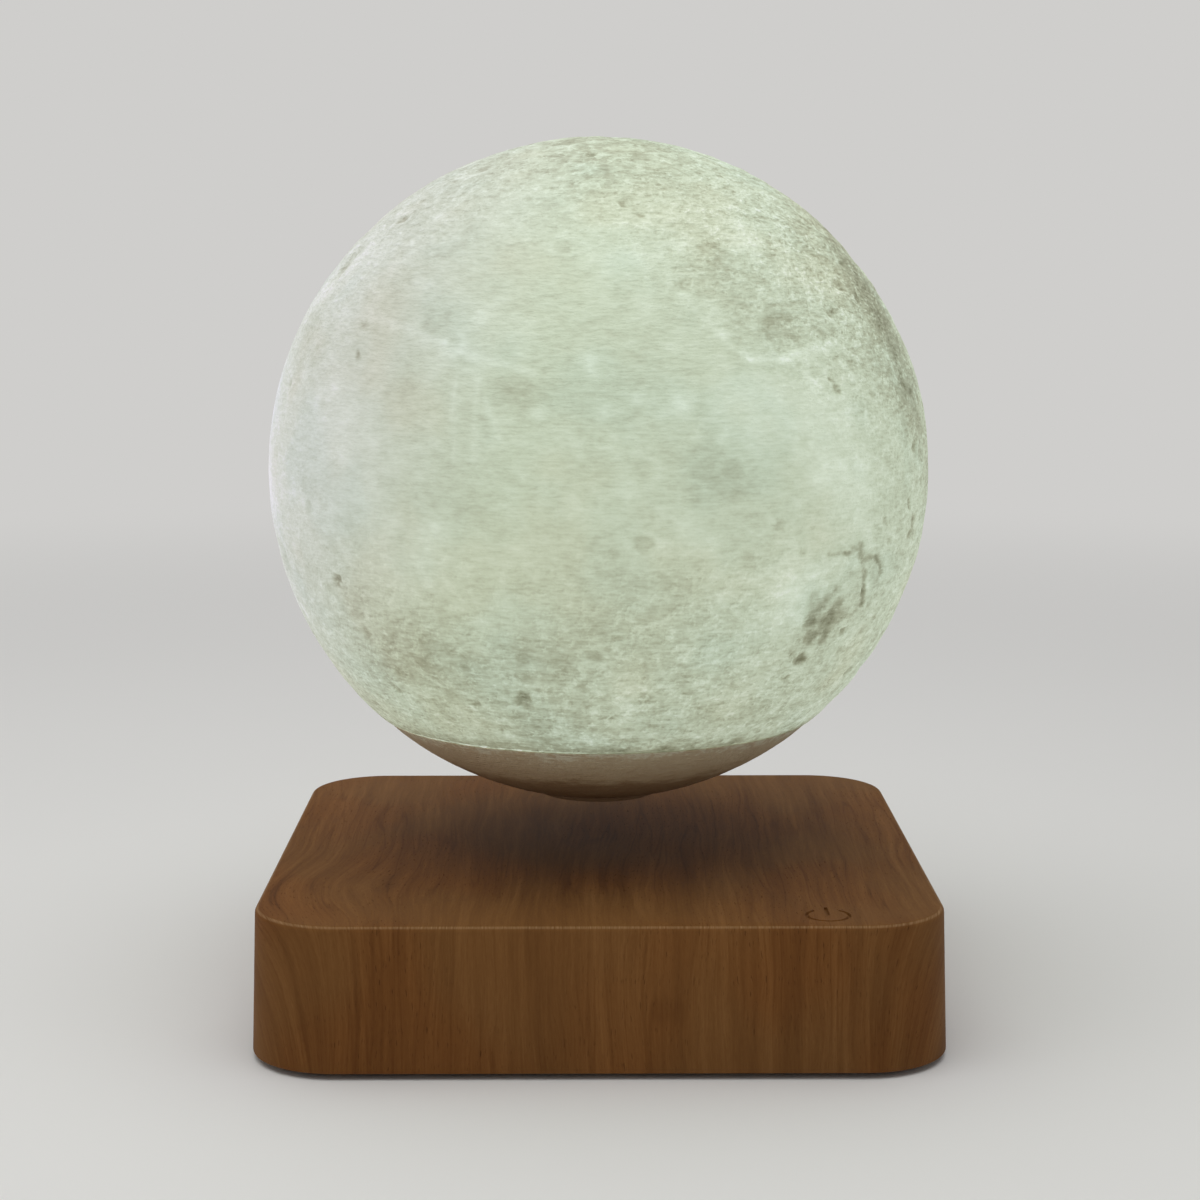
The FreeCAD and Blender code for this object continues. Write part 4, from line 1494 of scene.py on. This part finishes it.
@dataclass
class CoverScrews:
    """The two countersunk screws under the base, with their cross recess."""

    place: tuple[float, float] = (66.0, -66.0)
    foot: float = 1.5
    head_radius: float = 2.8
    head_rim: float = 0.3
    shank_radius: float = 1.45
    cone: float = 2.0
    reach: float = 7.0
    tip: float = 1.0
    tip_share: float = 0.35
    slot: float = 0.75
    slot_arm: float = 1.25
    slot_depth: float = 0.9

    def _screw(self) -> Piece:
        """One screw, head down.

        Returns:
            The piece.
        """
        x, y = self.place
        size = {"vertices": 48, "radius": self.head_radius * MM, "depth": self.head_rim * MM}
        place = (x * MM, y * MM, (self.foot + self.head_rim / 2) * MM)
        piece = start(bpy.ops.mesh.primitive_cylinder_add, "cover_screw_right", location=place, **size)
        shank = self.shank_radius / self.head_radius
        with editing(piece):
            pick(piece, Element.FACE, lambda middle, normal: normal.z > 0.9)
            pull((0, 0, self.cone - self.head_rim))
            stretch((shank, shank, 1.0), (x, y, 0))
            pull((0, 0, self.reach - self.tip))
            pull((0, 0, self.tip))
            stretch((self.tip_share, self.tip_share, 1.0), (x, y, 0))
            pick_underside(piece)
            ease(0.12, 2)
        carve(piece, self._cross())
        return piece

    def _cross(self) -> Piece:
        """The cutter of the cross recess: a square pushed out on its four sides.

        Returns:
            The cutter.
        """
        middle = (*self.place, self.foot)
        place = tuple(v * MM for v in middle)
        piece = start(bpy.ops.mesh.primitive_cube_add, "cross_cutter", size=self.slot * MM, location=place)
        for way in ((1, 0), (-1, 0), (0, 1), (0, -1)):
            with editing(piece):
                pick(piece, Element.FACE, lambda _, normal: normal.x * way[0] + normal.y * way[1] > 0.9)
                pull((way[0] * self.slot_arm, way[1] * self.slot_arm, 0))
        with editing(piece):
            stretch((1, 1, 2 * self.slot_depth / self.slot), middle)
        return piece

    def build(self, finish: Material) -> list[Piece]:
        """Builds one screw and its mirrored copy.

        Args:
            finish: The steel.

        Returns:
            The two pieces, riding on the base.
        """
        right = self._screw()
        smooth(right, 32)
        left = right.copy()
        left.data = right.data.copy()
        left.name = left.data.name = "cover_screw_left"
        bpy.context.scene.collection.objects.link(left)
        left.location.x = -2 * self.place[0] * MM
        wake(left)
        bpy.ops.object.transform_apply(location=True, rotation=True, scale=True)
        for piece in (right, left):
            dress(piece, finish)
            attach(piece, "base")
        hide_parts("cover_screws")
        return [right, left]


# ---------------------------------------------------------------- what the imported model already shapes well


NodeFinish = MouldedFinish | MetalFinish | CopperFinish | BoardFinish | RibbonFinish | PhosphorFinish


@dataclass(frozen=True)
class CarriedNodes:
    """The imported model's own pieces, each with the finish of its real material."""

    plan: tuple[tuple[NodeFinish, tuple[str, ...]], ...] = (
        (
            MouldedFinish("black_plastic", (0.022, 0.022, 0.023), 0.52),
            ("bottom_cover", "dc_socket", "module_tray", "magnet_holder"),
        ),
        (MouldedFinish("soft_rubber", (0.03, 0.03, 0.03), 0.82, 0.09, 1500.0), ("rubber_feet",)),
        (
            MouldedFinish("chip_black", (0.03, 0.03, 0.032), 0.46, 0.03, 4200.0),
            ("control_chips", "drive_transistors", "hall_sensors", "receiver_parts", "filter_capacitors"),
        ),
        (MouldedFinish("clear_plate", (0.62, 0.62, 0.58), 0.3, 0.03, 1200.0), ("coil_carrier",)),
        (MetalFinish("screw_steel", (0.55, 0.55, 0.56), 0.3, Lay.CAST), ()),
        (MetalFinish("bare_aluminium", (0.7, 0.71, 0.72), 0.34, Lay.ALONG_X), ("heat_sink",)),
        (
            MetalFinish("nickel_plate", (0.66, 0.64, 0.6), 0.16, Lay.CAST, 0.2),
            ("base_magnets", "lift_magnet", "dc_socket_pin"),
        ),
        (
            CopperFinish("flat_copper", Winding.FLAT, 1.3),
            ("transmit_coil", "receive_coil", "touch_electrode"),
        ),
        (CopperFinish("stacked_copper", Winding.STACKED, 0.9), ("coil_windings",)),
        (
            BoardFinish("circuit_board", (0.012, 0.115, 0.05), (0.02, 0.2, 0.085)),
            ("main_board", "hall_sensor_board", "touch_board"),
        ),
        (BoardFinish("white_board", (0.78, 0.78, 0.76), (0.68, 0.68, 0.65)), ("lamp_board",)),
        (RibbonFinish(), ("touch_lead", "transmit_coil_lead", "lead_headers")),
        (PhosphorFinish(), ("lamps",)),
    )

    def finishes(self) -> dict[str, Material]:
        """One material for each kind of surface."""
        return {finish.name: finish.material() for finish, _ in self.plan}

    def dress(self, finishes: dict[str, Material]) -> None:
        """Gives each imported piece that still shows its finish.

        Args:
            finishes: The materials by name.
        """
        for finish, nodes in self.plan:
            for name in nodes:
                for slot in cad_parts[name].material_slots:
                    slot.material = finishes[finish.name]
                LOG.info("%s: %s", name, finish.name)


# ---------------------------------------------------------------- the studio


@dataclass(frozen=True)
class SoftLamp:
    """A square lamp of the studio, in metres and watts."""

    name: str
    place: Point
    aim: Point
    size: float
    power: float

    def build(self) -> None:
        """Hangs the lamp up and points it."""
        light = bpy.data.lights.new(self.name, "AREA")
        light.size, light.energy = self.size, self.power
        holder = bpy.data.objects.new(self.name, light)
        holder.location = self.place
        holder.rotation_euler = (Vector(self.aim) - Vector(self.place)).to_track_quat("-Z", "Y").to_euler()
        bpy.context.scene.collection.objects.link(holder)


@dataclass
class Studio:
    """A plain pale floor with its sizes in metres, soft lamps, and the camera at the photograph's angle."""

    eye: Point = (-3.4, -609.5, 186.0)
    pitch: float = 8.206
    yaw: float = 0.361
    lens: float = 72.914
    sensor: float = 36.0
    floor_size: float = 12.0
    floor_colour: Colour = srgb(233, 232, 229)
    backdrop: Colour = srgb(207, 206, 204)
    sky: Colour = (0.98, 0.985, 1.0)
    room_light: float = 0.28
    fade: tuple[float, float] = (0.22, 1.2)
    lamps: tuple[SoftLamp, ...] = (
        SoftLamp("over", (-0.1, -0.1, 1.15), (0.0, 0.0, 0.05), 1.5, 10.0),
        SoftLamp("left", (-1.15, -0.75, 0.55), (0.0, 0.0, 0.12), 0.8, 1.1),
        SoftLamp("right", (1.1, -0.8, 0.5), (0.0, 0.0, 0.12), 0.8, 0.7),
    )

    def build_floor(self) -> None:
        """The floor: it keeps the lamp's shadow, and farther off it takes the background's colour."""
        floor = start(bpy.ops.mesh.primitive_plane_add, "floor", size=self.floor_size, location=(0, 0, 0))
        recipe = Recipe("floor_paint")
        place = recipe.place()
        across, along, _ = recipe.axes(place)
        far = (across * across + along * along) ** 0.5
        paler = tuple(min(1.0, c * 1.03) for c in self.floor_colour)
        colour = recipe.blend(recipe.noise(place, 3.0, 2.0, 0.5), self.floor_colour, paler)
        glow = recipe.add("ShaderNodeEmission", None, {"Color": self.backdrop, "Strength": 1.0})
        shares = {0: recipe.seen() * far.step(*self.fade), 1: recipe.shader.outputs[0], 2: glow.outputs[0]}
        mixed = recipe.add("ShaderNodeMixShader", None, shares)
        recipe.feed(recipe.output.inputs["Surface"], mixed.outputs[0])
        dress(floor, recipe.finish(Base_Color=colour, Roughness=0.9))

    def build_light(self) -> None:
        """A large soft lamp overhead, one at each side in front, and a dim room with a pale backdrop."""
        for lamp in self.lamps:
            lamp.build()
        world = bpy.data.worlds.new("pale_room")
        bpy.context.scene.world = world
        tree = Tree(world)
        room = tree.add("ShaderNodeBackground", None, {"Color": self.sky, "Strength": self.room_light})
        sheet = tree.add("ShaderNodeBackground", None, {"Color": self.backdrop})
        shares = {0: tree.seen(), 1: room.outputs[0], 2: sheet.outputs[0]}
        mixed = tree.add("ShaderNodeMixShader", None, shares)
        tree.add("ShaderNodeOutputWorld", None, {"Surface": mixed.outputs[0]})

    def build_camera(self) -> None:
        """The camera, fitted to the photograph's view."""
        lens = bpy.data.cameras.new("camera")
        lens.lens, lens.sensor_width, lens.sensor_fit = self.lens, self.sensor, "HORIZONTAL"
        lens.clip_start = 0.01
        camera = bpy.data.objects.new("camera", lens)
        camera.location = tuple(v * MM for v in self.eye)
        camera.rotation_euler = (math.radians(90 - self.pitch), 0.0, math.radians(-self.yaw))
        bpy.context.scene.collection.objects.link(camera)
        bpy.context.scene.camera = camera

    def build(self) -> None:
        """Sets the whole studio up."""
        self.build_floor()
        self.build_light()
        self.build_camera()
        bpy.context.scene.view_settings.view_transform = "Standard"


def main() -> None:
    """Builds the sub-assemblies in order and reports each piece."""
    logging.basicConfig(level=logging.INFO, format="%(name)s: %(message)s")
    nodes = CarriedNodes()
    finishes = nodes.finishes()
    for piece in (*Moon().build(), BaseSkin().build(), *CoverScrews().build(finishes["screw_steel"])):
        LOG.info("%s: %d faces", piece.name, len(piece.data.polygons))
    nodes.dress(finishes)
    Studio().build()
    bpy.ops.object.select_all(action="DESELECT")


if __name__ == "__main__":
    main()
